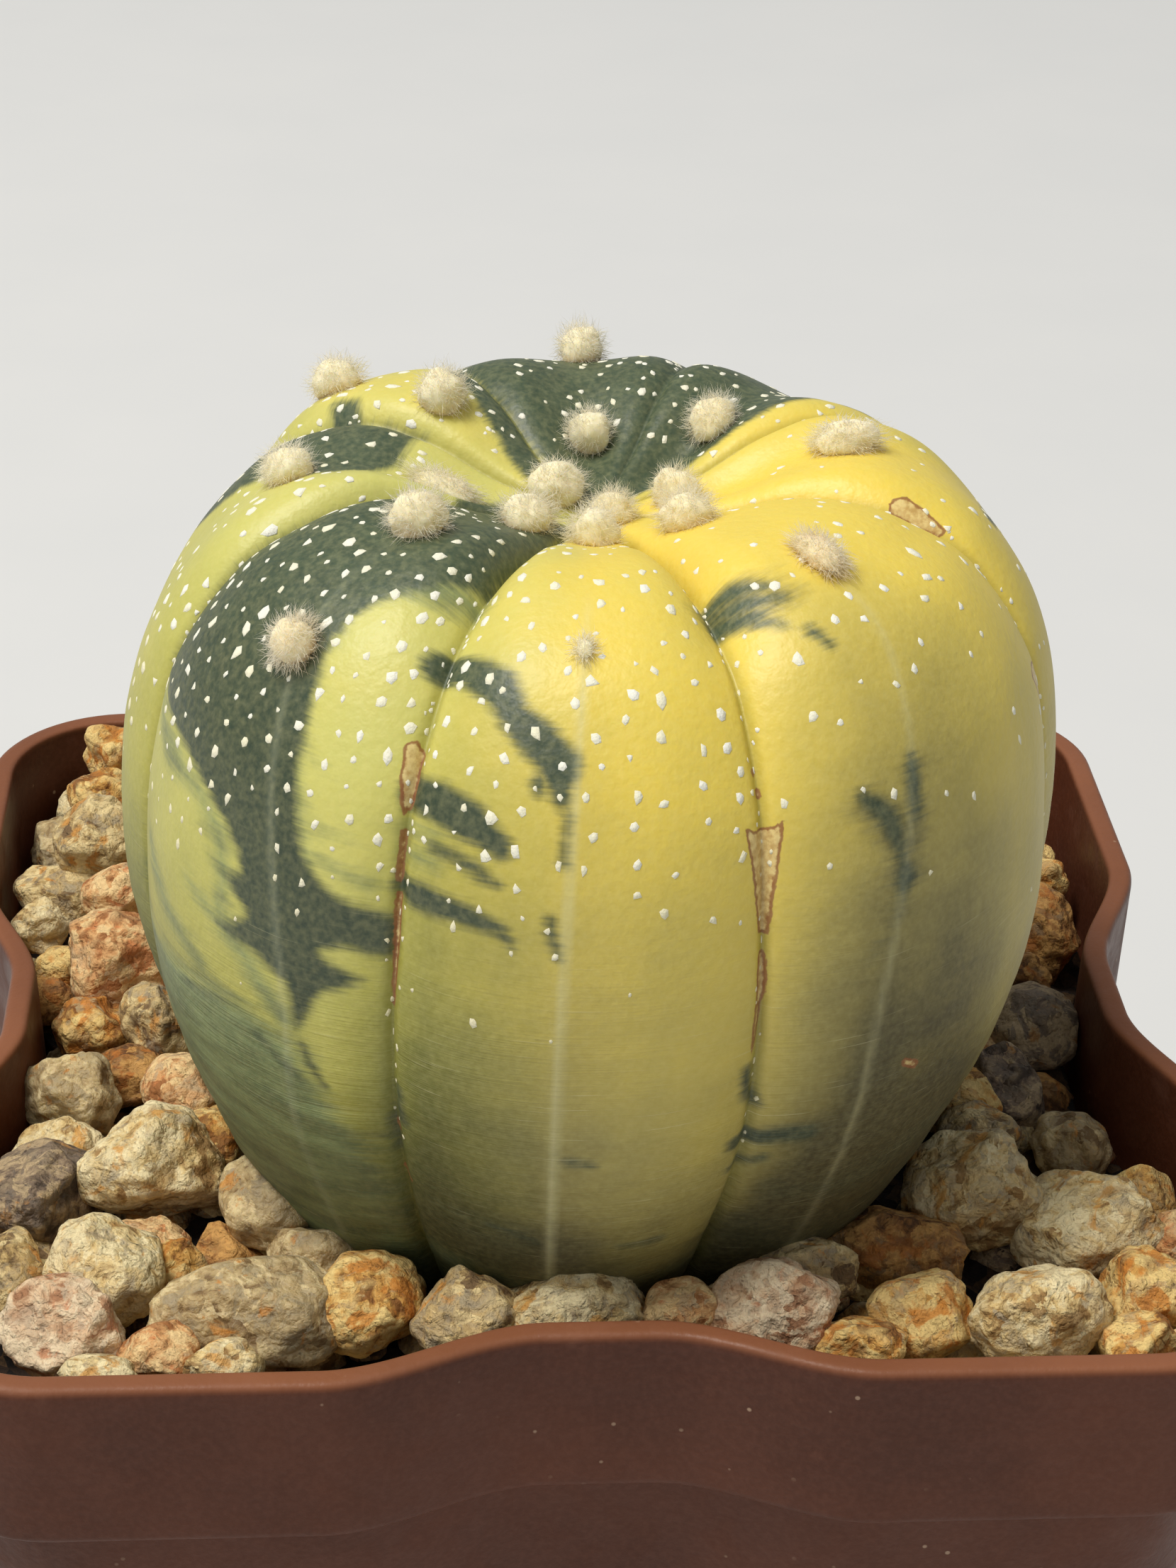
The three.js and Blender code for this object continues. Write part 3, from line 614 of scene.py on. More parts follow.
# Corky scars in and beside the grooves, as outlines of (angle, s) corners.
SCARS = (
    ((-26.6, 0.506), (-25.4, 0.502), (-24.3, 0.512), (-24.4, 0.548), (-25.2, 0.556),
     (-26.2, 0.53)),
    ((14, 0.552), (15.2, 0.558), (17.4, 0.557), (18.8, 0.552), (18.2, 0.568), (17.4, 0.598),
     (17.0, 0.622), (15.9, 0.621), (15.4, 0.603), (14.9, 0.581), (14.4, 0.566)),
    ((73.3, 0.335), (75, 0.33), (77, 0.35), (76, 0.38), (74.5, 0.41), (73.2, 0.405),
     (73, 0.37)),
    ((65.5, 0.548), (68, 0.545), (71.5, 0.552), (73.3, 0.575), (73.5, 0.603), (71.8, 0.604),
     (69, 0.578)),
)

# Thin corky lines as (angle, s, half width in mm).
SCAR_LINES = (
    ((-24.9, 0.565, 0.12), (-24.8, 0.595, 0.14)),
    ((-24.7, 0.604, 0.15), (-24.5, 0.63, 0.16), (-24.5, 0.655, 0.1), (-24.5, 0.672, 0.05)),
    ((-24.2, 0.748, 0.1), (-24.1, 0.754, 0.16)),
    ((-24.3, 0.79, 0.16), (-23.6, 0.798, 0.16)),
    ((16.2, 0.516, 0.1), (16.2, 0.519, 0.12)),
    ((16.5, 0.53, 0.08), (16.5, 0.536, 0.12)),
    ((16.3, 0.634, 0.2), (16.4, 0.65, 0.28), (16.3, 0.66, 0.2)),
    ((16.1, 0.664, 0.2), (15.9, 0.678, 0.18), (15.6, 0.69, 0.06)),
    ((34.2, 0.716, 0.22), (36, 0.722, 0.25)),
    ((-74.6, 0.588, 0.14), (-74.8, 0.594, 0.12)),
    ((-74.4, 0.545, 0.1), (-74.6, 0.55, 0.1)),
)


FAR = 3.0  # a marking's distance counts only up to this many millimetres
STEP = 1.2  # a marking's outline is cut into stretches of about this many millimetres


def finer(path, closed):
    """A path of (angle, s, ...) rows with each stretch cut into steps of about STEP, taking the
    plant as 24 mm in radius and its skin as 72 mm long."""
    rows = np.array(path, float)
    ends = np.roll(rows, -1, axis=0) if closed else rows[1:]
    steps = []
    for start, end in zip(rows, ends):
        wide = math.radians(abs(end[0] - start[0])) * 24
        count = max(1, round(math.hypot(wide, 72 * (end[1] - start[1])) / STEP))
        share = (np.arange(count) / count)[:, None]
        steps.append(start + (end - start) * share)
    return np.concatenate(steps if closed else [*steps, rows[-1:]])


def to_path(skin, path, halves):
    """For each place on the skin, the largest of half width minus the straight distance in space,
    in millimetres, over the stretches of a path, and no less than -FAR."""
    best = np.full(skin.shape[:-1], -FAR)
    for start, end, wide, next_wide in zip(path[:-1], path[1:], halves[:-1], halves[1:]):
        step = end - start
        t = np.clip(((skin - start) @ step) / (step @ step + 1e-9), 0, 1)
        away = np.linalg.norm(skin - start - t[..., None] * step, axis=-1)
        best = np.maximum(best, wide + t * (next_wide - wide) - away)
    return best


def smooth_skin(theta, s):
    """The skin without its grooves, on which the markings are measured."""
    crest = crest_place(s)
    return turned(theta, crest[..., 0], crest[..., 1])


def close_by(rows, theta, s, degrees, span):
    """Which places lie within the rows' range of angle and s, widened by degrees and span."""
    low, high = rows.min(axis=0), rows.max(axis=0)
    return ((theta > low[0] - degrees) & (theta < high[0] + degrees)
            & (s > low[1] - span) & (s < high[1] + span))


def inside_by(corners, theta, s, skin):
    """How far inside a closed outline each place lies, in millimetres, negative outside: the
    distance to the nearest side, its sign from counting the sides that a level line crosses."""
    ring = finer(corners, closed=True)
    ring = np.concatenate([ring, ring[:1]])
    near = close_by(ring, theta, s, 9, 0.05)
    path = smooth_skin(ring[:, 0], ring[:, 1])
    away = -to_path(skin[near], path, np.zeros(len(path)))
    x, y = theta[near], s[near]
    inside = np.zeros(x.shape, bool)
    for (x0, y0), (x1, y1) in zip(ring[:-1], ring[1:]):
        crosses = (y0 > y) != (y1 > y)
        rise = y1 - y0 if abs(y1 - y0) > 1e-9 else 1e-9
        inside ^= crosses & (x < x0 + (y - y0) * (x1 - x0) / rise)
    field = np.full(theta.shape, -FAR)
    field[near] = np.where(inside, away, -away)
    return field


def within_stroke(path, theta, s, skin):
    """How far inside a tapering stroke each place lies, in millimetres, negative outside: the half
    width there minus the distance to the nearest stretch of its middle line."""
    rows = finer(path, closed=False)
    near = close_by(rows, theta, s, 12, 0.06)
    field = np.full(theta.shape, -FAR)
    field[near] = to_path(skin[near], smooth_skin(rows[:, 0], rows[:, 1]), rows[:, 2])
    return field


def markings(outlines, paths, theta, s, skin):
    """How far inside any of these outlines or strokes each place lies, in millimetres."""
    return np.max(np.stack([inside_by(corners, theta, s, skin) for corners in outlines]
                           + [within_stroke(path, theta, s, skin) for path in paths]), axis=0)


# The olive ramp also paints shade near the base and on the front right rib.
OLIVE_AND_SHADE_WIDTH = 0.19  # in s, over which the skin turns olive
PALE_LINE_WIDTH = 0.22  # of the line along each crest, in mm
# Angle and share of lime in the yellow, and angle and place s where the skin turns olive with age
# and darker with painted shade, which starts highest on the front right rib, the shaded side.
LIME_SHARES = np.array([
    (-151, 0.6), (-129, 0.6), (-117, 0.8), (-96, 0.9), (-60, 0.95), (-40, 0.9), (-25, 0.8),
    (-20, 0.6), (-8, 0.35), (-4, 0.14), (16, 0.12), (40, 0.14), (97, 0.1), (104, 0.3), (115, 0.35),
    (125, 0.45), (157, 0.6), (209, 0.6)])
OLIVE_AND_SHADE_FROM = np.array([
    (-151, 0.54), (-117, 0.6), (-96, 0.6), (-74, 0.64), (-60, 0.68), (-44, 0.72), (-32, 0.8),
    (-26, 0.66), (-20, 0.575), (-8, 0.59), (2, 0.65), (12, 0.69), (16, 0.67), (22, 0.57),
    (30, 0.475), (42, 0.485), (52, 0.59), (66, 0.62), (73, 0.62), (97, 0.56), (115, 0.56),
    (157, 0.5), (209, 0.54)])


def skin_fields(theta, s):
    """The numbers that the skin's finish reads, for each point of the body."""
    skin = smooth_skin(theta, s)
    angle = wrapped(theta)
    return {
        "green": markings(PATCHES, STREAKS, theta, s, skin),
        "faint": markings(FAINT_PATCHES, FAINT_STREAKS, theta, s, skin),
        "scar": markings(SCARS, SCAR_LINES, theta, s, skin),
        "lime": np.interp(angle, LIME_SHARES[:, 0], LIME_SHARES[:, 1]),
        # how far the skin has turned olive with age and darker with painted shade
        "age_and_shade": (s - np.interp(angle, OLIVE_AND_SHADE_FROM[:, 0], OLIVE_AND_SHADE_FROM[:, 1])) / OLIVE_AND_SHADE_WIDTH,
        "down": s,
        "groove": np.minimum(groove_distance(theta, s), FAR),
        "keel": keel_at(theta, s, PALE_LINE_WIDTH)}


# ---- Plant -----------------------------------------------------------------------------------

COLUMN_PITCH = (1.35, 0.85, 0.56, 0.52, 0.58, 0.9, 1.35, 1.35)  # degrees, on each rib
CROWDING = 1.2  # above 1, columns lie closer together near a groove
SKIN_TOP, SKIN_LOW = 0.7, 60.5  # mm down the skin, of the first row and the last close one
CLOSE_ROWS, BASE_ROWS = 184, 8  # rows of points down to there, and under the base
ROOT_PROFILE = ((11.6, -12.2), (6.4, -12.9), (4.4, -13.6), (4.0, -18), (3.2, -25), (2.2, -32),
                (1.2, -38.4))  # radius and height
ROOT_STEPS = (2.5, 5.2, 2.1, 4.5, 7, 7, 6.5)  # mm down the unrolled root from ring to ring
ROOT_TIP = -38.8
CROWN_DIP = 31.0  # height of the skin in the middle of the crown
UNROLLED_RADIUS = 24.6  # mm, at which the skin is unrolled
UV_MM = 100  # millimetres on the skin to one unit of its UV map


def body_columns():
    """Angles of the skin's columns: finer at the front, and closer together near each groove."""
    columns = []
    for rib, crest in enumerate(CRESTS):
        for groove in (GROOVE_RING[rib], GROOVE_RING[rib + 1]):
            count = round(abs(crest - groove) / COLUMN_PITCH[rib])
            share = np.arange(count) / count
            if groove < crest:
                columns.append(groove + (crest - groove) * share ** CROWDING)
            else:
                columns.append(crest + (groove - crest) * (1 - (1 - share) ** CROWDING))
    return np.concatenate(columns)


def make_body():
    """Skin, neck and taproot as one shell: plant_skin on a grid of even steps down the skin, then
    rings of shrinking radius down to the root's tip."""
    theta = body_columns()
    count = len(theta)
    arcs = np.concatenate([np.linspace(SKIN_TOP, SKIN_LOW, CLOSE_ROWS),
                           np.linspace(SKIN_LOW + 1, ARC_MM[-1], BASE_ROWS)])
    grid_theta, grid_s = np.meshgrid(theta, np.interp(arcs, ARC_MM, ARC_S))
    skin = plant_skin(grid_theta, grid_s)
    spot = np.stack([theta / 20, np.zeros(count), np.zeros(count)], -1)
    wiggle = layered(spot, (0.25, 1.0, 4))
    roots = np.stack([turned(theta, radius + wiggle * (radius < 4), height)
                      for radius, height in ROOT_PROFILE])
    poles = np.stack([turned(0.0, 0.0, CROWN_DIP), turned(0.0, 0.0, ROOT_TIP)])
    points = np.concatenate([skin.reshape(-1, 3), roots.reshape(-1, 3), poles])
    quads, caps = shell_faces(len(arcs) + len(roots), count)
    # values at the top pole, and on the root and its tip
    ends = {"green": (2, -FAR), "faint": (-FAR, 2), "scar": (-FAR, -FAR), "lime": (0.5, 0.5),
            "age_and_shade": (-3, 2.2), "down": (0, 1.1), "groove": (0, 3), "keel": (0, 0)}
    fields = {name: np.concatenate([values.ravel(), np.full(roots[..., 0].size, ends[name][1]),
                                    ends[name]])
              for name, values in skin_fields(grid_theta, grid_s).items()}
    across = np.radians(np.append(theta, theta[0] + 360)) * UNROLLED_RADIUS / UV_MM
    root_arcs = arcs[-1] + np.cumsum(ROOT_STEPS)
    drop = np.concatenate([[0], arcs, root_arcs, root_arcs[-1:] + 1]) / UV_MM
    row, column = quads[:, 0] // count + 1, quads[:, 0] % count
    each, top, last = np.arange(count), np.zeros(count, int), np.full(count, len(drop) - 2)
    faces = ((column, ((row, 0), (row + 1, 0), (row + 1, 1), (row, 1))),
             (each, ((top, 0), (top + 1, 0), (top + 1, 1))),
             (each, ((last, 0), (last + 1, 0), (last, 1))))
    corner_uv = [np.stack([np.stack([across[start + step], drop[down]], -1)
                           for down, step in corners], 1).reshape(-1, 2)
                 for start, corners in faces]
    return make_piece("cactus_body", points, quads, caps, fields, np.concatenate(corner_uv))


YELLOW, LIME, PALE_YELLOW = tone(240, 213, 86), tone(206, 203, 112), tone(220, 208, 128)
# Each stage of ageing and painted shade starts and ends at these values, covers that share, and has
# one colour on the yellow ribs and one on the lime ribs. The last and darkest stage is partly
# painted shade just above the stones.
AGEING_AND_SHADE = ((-1.2, 0.2, 0.8, tone(194, 176, 84), tone(166, 160, 64)),
          (-0.2, 0.8, 0.9, tone(149, 137, 74), tone(104, 108, 46)),
          (0.55, 1.3, 0.95, tone(68, 63, 38), tone(50, 62, 34)))
# The groove tone is painted shade in the grooves, a darker greener olive.
GROOVE_SHADE, CREST_CREAM, CREST_GREY = tone(126, 124, 46), tone(232, 218, 146), tone(196, 200, 168)
WASHED_LIGHT, WASHED_DARK, WASHED_WARM = tone(118, 138, 100), tone(76, 96, 72), tone(74, 74, 48)
GREEN_CELL, GREEN_RIDGE = tone(58, 75, 55), tone(65, 82, 61)
GREEN_GRAIN, GREEN_STREAK, GREEN_LOW = tone(98, 114, 90), tone(96, 116, 82), tone(46, 60, 44)
CORK_DARK, CORK_LIGHT, CORK_EDGE = tone(196, 158, 96), tone(232, 206, 142), tone(146, 86, 46)
SCRATCH, BLOOM = tone(222, 216, 170), tone(250, 240, 170)


def skin_finish():
    """Waxy skin: yellow to lime, olive and green with age near the base, darker there and on the
    front right rib with painted shade, feathered dark green patches with paler cells, a darker
    olive in each groove that is painted shade, a pale line on each crest, and corky scars with a
    brown outline."""
    f = Finish("waxy_skin", roughness=0.42, Subsurface_Weight=0.16,
               Subsurface_Radius=(1.0, 0.75, 0.3), Subsurface_Scale=0.0012)
    uv = f.add("ShaderNodeUVMap", {"uv_map": "UVMap"}).outputs[0]
    # noises drawn out round the plant, by their length and height in mm
    streak = f.streaks(f.scaled(uv, UV_MM / 4.0, UV_MM / 0.25, 1))
    band = f.streaks(f.scaled(uv, UV_MM / 5.0, UV_MM / 1.3, 1, shift=(3, 7, 0)), detail=4.0)
    scratch = f.streaks(f.scaled(uv, UV_MM / 5.0, UV_MM / 0.12, 1), detail=2.0, rough=0.5)
    cloud = f.noise(6.0)
    fine = f.noise(0.35)
    green, faint, scar = f.field("green"), f.field("faint"), f.field("scar")
    lime, age_and_shade, down = f.field("lime"), f.field("age_and_shade"), f.field("down")
    keel, groove = f.field("keel"), f.field("groove")

    # yellow to lime
    base = f.mix(f.ease(f.total(lime, f.swing(cloud, 0.7)), 0.0, 1.0), YELLOW, LIME)
    base = f.mix(f.ease(band, 0.5, 0.8, 0.0, 0.08), base, PALE_YELLOW)
    # older skin towards the base, darker there and on the front right rib with painted shade
    aged_and_shaded = f.total(age_and_shade, f.swing(cloud, 0.9), f.swing(band, 0.2))
    green_share = f.ease(lime, 0.1, 0.7)
    for start, end, share, on_yellow, on_lime in AGEING_AND_SHADE:
        base = f.mix(f.ease(aged_and_shaded, start, end, 0.0, share), base,
                     f.mix(green_share, on_yellow, on_lime))
    # painted shade: a darker olive within half a millimetre of each groove
    base = f.mix(f.ease(groove, 0.0, 0.5, 0.4, 0.0), base, GROOVE_SHADE)
    # pale line along the crest
    base = f.mix(f.times(keel, f.ease(band, 0.3, 0.6, 0.1, 0.32)), base, CREST_CREAM)
    # washed-out green
    washed = f.mix(f.ease(band, 0.35, 0.65), WASHED_LIGHT, WASHED_DARK)
    washed = f.mix(green_share, WASHED_WARM, washed)
    faint_mark = f.total(faint, f.total(f.swing(streak, 1.4), f.swing(band, 2.4)))
    base = f.mix(f.ease(faint_mark, -1.0, 1.1, 0.0, 0.84), base, washed)
    # dark green
    dark = f.mix(f.ease(f.cells(0.9, "SMOOTH_F1"), 0.1, 0.75), GREEN_CELL, GREEN_RIDGE)
    dark = f.mix(f.ease(fine, 0.4, 0.75, 0.0, 0.14), dark, GREEN_GRAIN)
    dark = f.mix(f.ease(band, 0.5, 0.8, 0.0, 0.2), dark, GREEN_STREAK)
    dark = f.mix(f.ease(down, 0.36, 0.6, 0.0, 0.8), dark, GREEN_LOW)
    green_mark = f.total(green, f.swing(streak, 0.7), f.swing(f.noise(2.2), 0.5))
    skin = f.mix(f.ease(green_mark, -0.42, 0.42), base, dark)
    skin = f.mix(f.times(keel, 0.25), skin, CREST_GREY)
    # corky scars
    ragged = f.total(scar, f.swing(fine, 0.25))
    cork = f.mix(f.ease(fine, 0.3, 0.7), CORK_DARK, CORK_LIGHT)
    cork = f.mix(f.ease(ragged, 0.06, 0.16), CORK_EDGE, cork)
    skin = f.mix(f.ease(ragged, -0.08, 0.0, 0.0, 0.9), skin, cork)
    # fine scratches on the lower half, and bloom
    worn = f.times(f.ease(scratch, 0.66, 0.74), f.ease(down, 0.55, 0.75, 0.0, 0.35))
    skin = f.mix(worn, skin, SCRATCH)
    skin = f.mix(f.ease(fine, 0.2, 0.9, 0.0, 0.12), skin, BLOOM)

    normal = f.bump(f.noise(0.5, 2.0), 0.05)
    normal = f.bump(f.times(scratch, f.ease(down, 0.55, 0.8)), 0.06, normal)
    gloss = f.total(0.40, f.times(fine, 0.14), f.times(f.ease(age_and_shade, 0.0, 1.0), 0.12))
    return f.done(skin, gloss, normal)


LANE_WIDTH = 4.0  # degrees between two rows of flecks
FLECK_STEP = 1.45  # mm down the skin from one fleck to the next
FLECKS_FROM, FLECKS_TO = 7.0, 44.0  # mm down the skin
FLECK_SHARES = (0.85, 0.6, 1.0, 0.85, 0.45, 0.4, 0.7, 0.75)  # of the flecks, on each rib
# From each place s on, that share of the flecks and that share of their radius.
FLECK_FADES = ((0.0, 1.0, 1.0), (0.58, 0.55, 0.8), (0.62, 0.15, 0.65), (0.67, 0.02, 0.6))
BARE_RIB, BARE_FROM, BARE_SHARE = 4, 0.5, 0.35  # a rib with fewer below that s
CROWN_END, CROWN_FLECK = 0.3, 0.8  # above that s flecks have that share of their radius
FLECK_RADIUS = (0.15, 0.2)  # the smallest, and how much more the largest is
GROOVE_FLECK_RADIUS = (0.1, 0.09)
GROOVE_FLECKS = (0.3, 0.76)  # first and last s along the grooves
GROOVE_FLECK_STEPS = (0.006, 0.003, 0.011)  # least, least in a close groove, and how much more
CLOSE_GROOVES = (73, -24.5)
FLECK_SIDES = 6
FULL_RADIUS = 19  # mm from the axis, where rows are at their fullest


def fleck_places():
    """Angle, s and radius of every white fleck: uneven rows beside each crest, about FLECK_STEP
    apart, that thin out towards the crown and down the plant, and small ones along the grooves."""
    chance = draws_from(5521)
    places = []
    for rib, crest in enumerate(CRESTS):
        for groove in (GROOVE_RING[rib], GROOVE_RING[rib + 1]):
            lanes = max(3, round(abs(groove - crest) / LANE_WIDTH))
            for lane in range(lanes):
                share = (lane + 0.45) / (lanes + 0.2)
                arc = FLECKS_FROM + FLECK_STEP * next(chance)
                while arc < FLECKS_TO:
                    s = np.interp(arc, ARC_MM, ARC_S)
                    around = crest_place(np.array(s))[0]
                    _, thin, small = [row for row in FLECK_FADES if s > row[0]][-1]
                    if rib == BARE_RIB and s > BARE_FROM:
                        thin *= BARE_SHARE
                    keep = FLECK_SHARES[rib] * min(1.0, (around / FULL_RADIUS) ** 0.8) * thin
                    shift = 0.5 * LANE_WIDTH * FULL_RADIUS / around * (next(chance) - 0.5)
                    radius = (FLECK_RADIUS[0] + FLECK_RADIUS[1] * next(chance)) * small
                    radius *= CROWN_FLECK if s < CROWN_END else 1.0
                    if next(chance) < keep:
                        places.append((crest + (groove - crest) * share + shift, s, radius))
                    arc += FLECK_STEP * (0.76 + 0.5 * next(chance))
    for groove in GROOVES:
        wide = 2.2 if groove < 60 else 3.6
        least = GROOVE_FLECK_STEPS[groove in CLOSE_GROOVES]
        s = GROOVE_FLECKS[0]
        while s < GROOVE_FLECKS[1]:
            angle = groove + wide * (next(chance) - 0.5)
            if next(chance) < 0.85:
                radius = GROOVE_FLECK_RADIUS[0] + GROOVE_FLECK_RADIUS[1] * next(chance)
                places.append((angle, s, radius))
            s += least + GROOVE_FLECK_STEPS[2] * next(chance)
    return np.array(places)


def make_flecks():
    """White flecks: flat six-sided flakes whose corners reach unevenly far, a little longer down
    the plant than round it, and set a little into the skin."""
    places = fleck_places()
    point, outward, down, round_way = skin_frame(places[:, 0], places[:, 1])
    count = len(places)
    cloud = np.random.default_rng(71)
    turn = np.arange(FLECK_SIDES) * 2 * math.pi / FLECK_SIDES
    radius = places[:, 2][:, None]
    long_way = 1.0 + 0.4 * cloud.random((count, 1))
    spin = cloud.random((count, 1)) * 2 * math.pi
    ragged = 0.55 + 0.75 * cloud.random((count, FLECK_SIDES))
    rings = []
    for size, height in ((0.84, 0.07), (1.0, -0.15)):
        reach = size * radius * ragged
        along = (reach * np.cos(turn + spin) * long_way)[..., None] * down[:, None]
        across = (reach * np.sin(turn + spin))[..., None] * round_way[:, None]
        up = (height * radius)[..., None] * outward[:, None]
        rings.append(point[:, None] + along + across + up)
    top = (point + outward * radius * 0.12)[:, None]
    foot = (point - outward * radius * 0.3)[:, None]
    points = np.concatenate([*rings, top, foot], axis=1)
    quads, caps = shell_faces(2, FLECK_SIDES)
    each = points.shape[1]
    step = (np.arange(count) * each)[:, None, None]
    return make_piece("white_flecks", points.reshape(-1, 3), quads + step, caps + step,
                      {"tuft": np.repeat(cloud.random(count), each),
                       "down": np.repeat(places[:, 1], each)})


# Radius, length down the rib, height and tan share of a tuft, and of those that differ, by rib
# and number.
USUAL_TUFT = (1.42, 1.05, 1.0, 0.12)
ODD_TUFTS = {
    (3, 1): (0.5, 1.1, 0.7, -0.3), (4, 2): (1.1, 1.4, 0.7, 0.75), (2, 2): (1.2, 1.1, 0.9, 0.6),
    (1, 0): (1.15, 1.7, 0.7, 0.15), (5, 1): (1.3, 1.5, 0.75, 0.1), (6, 0): (1.4, 1.35, 0.8, 0.1),
    (4, 0): (1.3, 1.1, 0.9, 0.2)}
CORE_MESH = (30, 44)
CORE_SHARE = 0.84  # of the tuft's radius
CORE_LUMPS = ((0.2, 0.8, 21), (0.07, 0.3, 22), (0.04, 0.12, 23))
HAIRS = 1250  # on a tuft of 1 mm or more
HAIR_RADIUS = 0.0145
HAIR_FOOT = 0.74  # share of the tuft's radius where hairs begin
THIRDS = (0, 2.094, 4.189)  # a third of a turn apart


def make_tufts():
    """Wool tufts in two pieces: softly lumpy felted cores, which are balls pushed in and out by
    noise, and short fine hairs, each a three-sided spindle bent at its thickest place."""
    directions = ball_directions(*CORE_MESH)
    quads, caps = shell_faces(*CORE_MESH)
    cloud = np.random.default_rng(19)
    _, hair_faces = shell_faces(1, 3)
    places = [(rib, number, s) for rib, row in enumerate(TUFTS) for number, s in enumerate(row)]
    cores, hairs = [], []
    for order, (rib, number, s) in enumerate(places):
        radius, length, height, tan = ODD_TUFTS.get((rib, number), USUAL_TUFT)
        point, outward, down, round_way = skin_frame(np.array(CRESTS[rib], float), np.array(s))
        # down, round and out run the same way round as x, y and z
        length, wide, height = (length, 1.0, height) * (0.9 + 0.25 * cloud.random(3))
        axes = np.stack([down * length, wide * round_way, outward * height])
        middle = point + outward * radius * 0.35 * height
        shape = directions * (1 + layered(directions + order * 3.1, *CORE_LUMPS))[:, None]
        core = middle + radius * CORE_SHARE * shape @ axes
        # height is how far up each point faces; the wool's finish paints shade where it faces down
        cores.append((core, quads, caps, {"tan": tan, "height": directions[:, 2],
                                          "tuft": cloud.random()}))
        start = unit(cloud.normal(size=(int(HAIRS * min(1.0, radius ** 1.5)), 3)))
        start = start[start[:, 2] > -0.6]
        count = len(start)
        side = unit(np.cross(start, unit(cloud.normal(size=(count, 3)))))
        other = np.cross(start, side)
        # how far a hair stands out of the core and how far its tip lies over to one side, in mm
        reach = 0.16 + 0.74 * cloud.random((count, 1)) ** 2.0
        lean = 0.15 + 0.75 * cloud.random((count, 1))
        foot = middle + radius * (start * HAIR_FOOT) @ axes
        bend = foot + (start * (0.06 * radius + 0.5 * reach) + side * lean * 0.25) @ axes
        tip = foot + (start * (0.06 * radius + reach) + side * lean) @ axes
        ring = [bend + HAIR_RADIUS * (math.cos(turn) * side + math.sin(turn) * other) @ axes
                for turn in THIRDS]
        hair = np.stack([*ring, tip, foot], 1)
        step = (np.arange(count) * 5)[:, None, None]
        # height is how far up each hair points; the wool's finish paints shade where it points down
        hairs.append((hair.reshape(-1, 3), (), hair_faces + step,
                      {"tan": tan, "height": np.repeat(start[:, 2], 5),
                       "tuft": np.repeat(cloud.random(count), 5)}))
    return (make_piece("wool_tufts", *gather(cores)),
            make_piece("wool_hairs", *gather(hairs), smooth=False))


def wool_finish(name, lightest, shade_and_tan, hair):
    """Dull wool: lighter on top and darker underneath with painted shade, which blends with each
    tuft's own tan share, with felted fibres, and each tuft or hair a little nearer to the hair
    tone."""
    f = Finish(name, roughness=1.0, Specular_IOR_Level=0.1, Subsurface_Weight=0.6,
               Subsurface_Radius=(1.0, 0.85, 0.6), Subsurface_Scale=0.0005)
    fibre = f.noise(0.22, 4.0, 0.7, warp=2.5)
    patch = f.noise(1.1, 2.0)
    # painted shade towards the underside, added to each tuft's own tan share
    lower = f.ease(f.field("height"), -0.7, 0.3, 1.0, 0.0)
    tan = f.total(f.times(lower, 0.55), f.times(f.field("tan"), 0.5), f.swing(patch, 0.5))
    colour = f.mix(f.ease(tan, 0.05, 1.0), lightest, shade_and_tan)
    colour = f.mix(f.ease(fibre, 0.3, 0.65, 0.1, 0.0), colour, tone(222, 192, 140))
    colour = f.mix(f.times(f.field("tuft"), 0.3), colour, hair)
    return f.done(colour, None, f.bump(fibre, 0.03))


def fleck_finish():
    """Chalky white scales with a trace of cream."""
    f = Finish("white_scale", roughness=0.85, Subsurface_Weight=0.2,
               Subsurface_Radius=(1.0, 0.9, 0.7), Subsurface_Scale=0.0003)
    dust = f.noise(0.14, 3.0)
    colour = f.mix(f.field("tuft"), tone(255, 253, 238), tone(250, 244, 212))
    colour = f.mix(f.ease(f.field("down"), 0.5, 0.66, 0.0, 0.6), colour, tone(232, 218, 160))
    colour = f.mix(f.ease(dust, 0.3, 0.8, 0.0, 0.25), colour, tone(222, 214, 172))
    return f.done(colour, None, f.bump(dust, 0.06))


# ---- Pot -------------------------------------------------------------------------------------

def pot_outline(z, half):
    """The pot's plan at a height, counterclockwise: four equal sides, each pressed in by a dent
    whose depth falls by 3t^2 - 2t^3 of the way along, and quarter-circle corners."""
    up = min(max(z / BODY_TOP, 0), 1)
    depth = DENT_DEPTH_AT_FOOT + (DENT_DEPTH - DENT_DEPTH_AT_FOOT) * up
    full = np.interp(z, POT_OUTSIDE[:, 0], POT_OUTSIDE[:, 1])
    radius = FOOT_CORNER_RADIUS + (CORNER_RADIUS - FOOT_CORNER_RADIUS) * up - (full - half)
    straight = half - radius
    places = np.concatenate([np.linspace(-straight, -DENT_REACH, 8)[:-1],
                             np.linspace(-DENT_REACH, DENT_REACH, 67),
                             np.linspace(DENT_REACH, straight, 8)[1:]])
    dent = depth * (1 - smooth_step(np.abs(places), DENT_FLAT, DENT_REACH))
    angle = np.radians(np.linspace(-90, 0, 19)[1:-1])
    side = np.concatenate([
        np.stack([places, dent - half], -1),
        np.stack([straight + radius * np.cos(angle), radius * np.sin(angle) - straight], -1)])
    turns = [np.array([(1, 0), (0, 1)]), np.array([(0, 1), (-1, 0)]),
             np.array([(-1, 0), (0, -1)]), np.array([(0, -1), (1, 0)])]
    return np.concatenate([side @ turn for turn in turns])


def rounded_edge(start, corner, end, steps):
    """Height and half width along a quadratic curve from start to end that bends at the corner."""
    t = np.linspace(0, 1, steps)[:, None]
    start, corner, end = (np.array(p, float) for p in (start, corner, end))
    return (1 - t) ** 2 * start + 2 * t * (1 - t) * corner + t * t * end


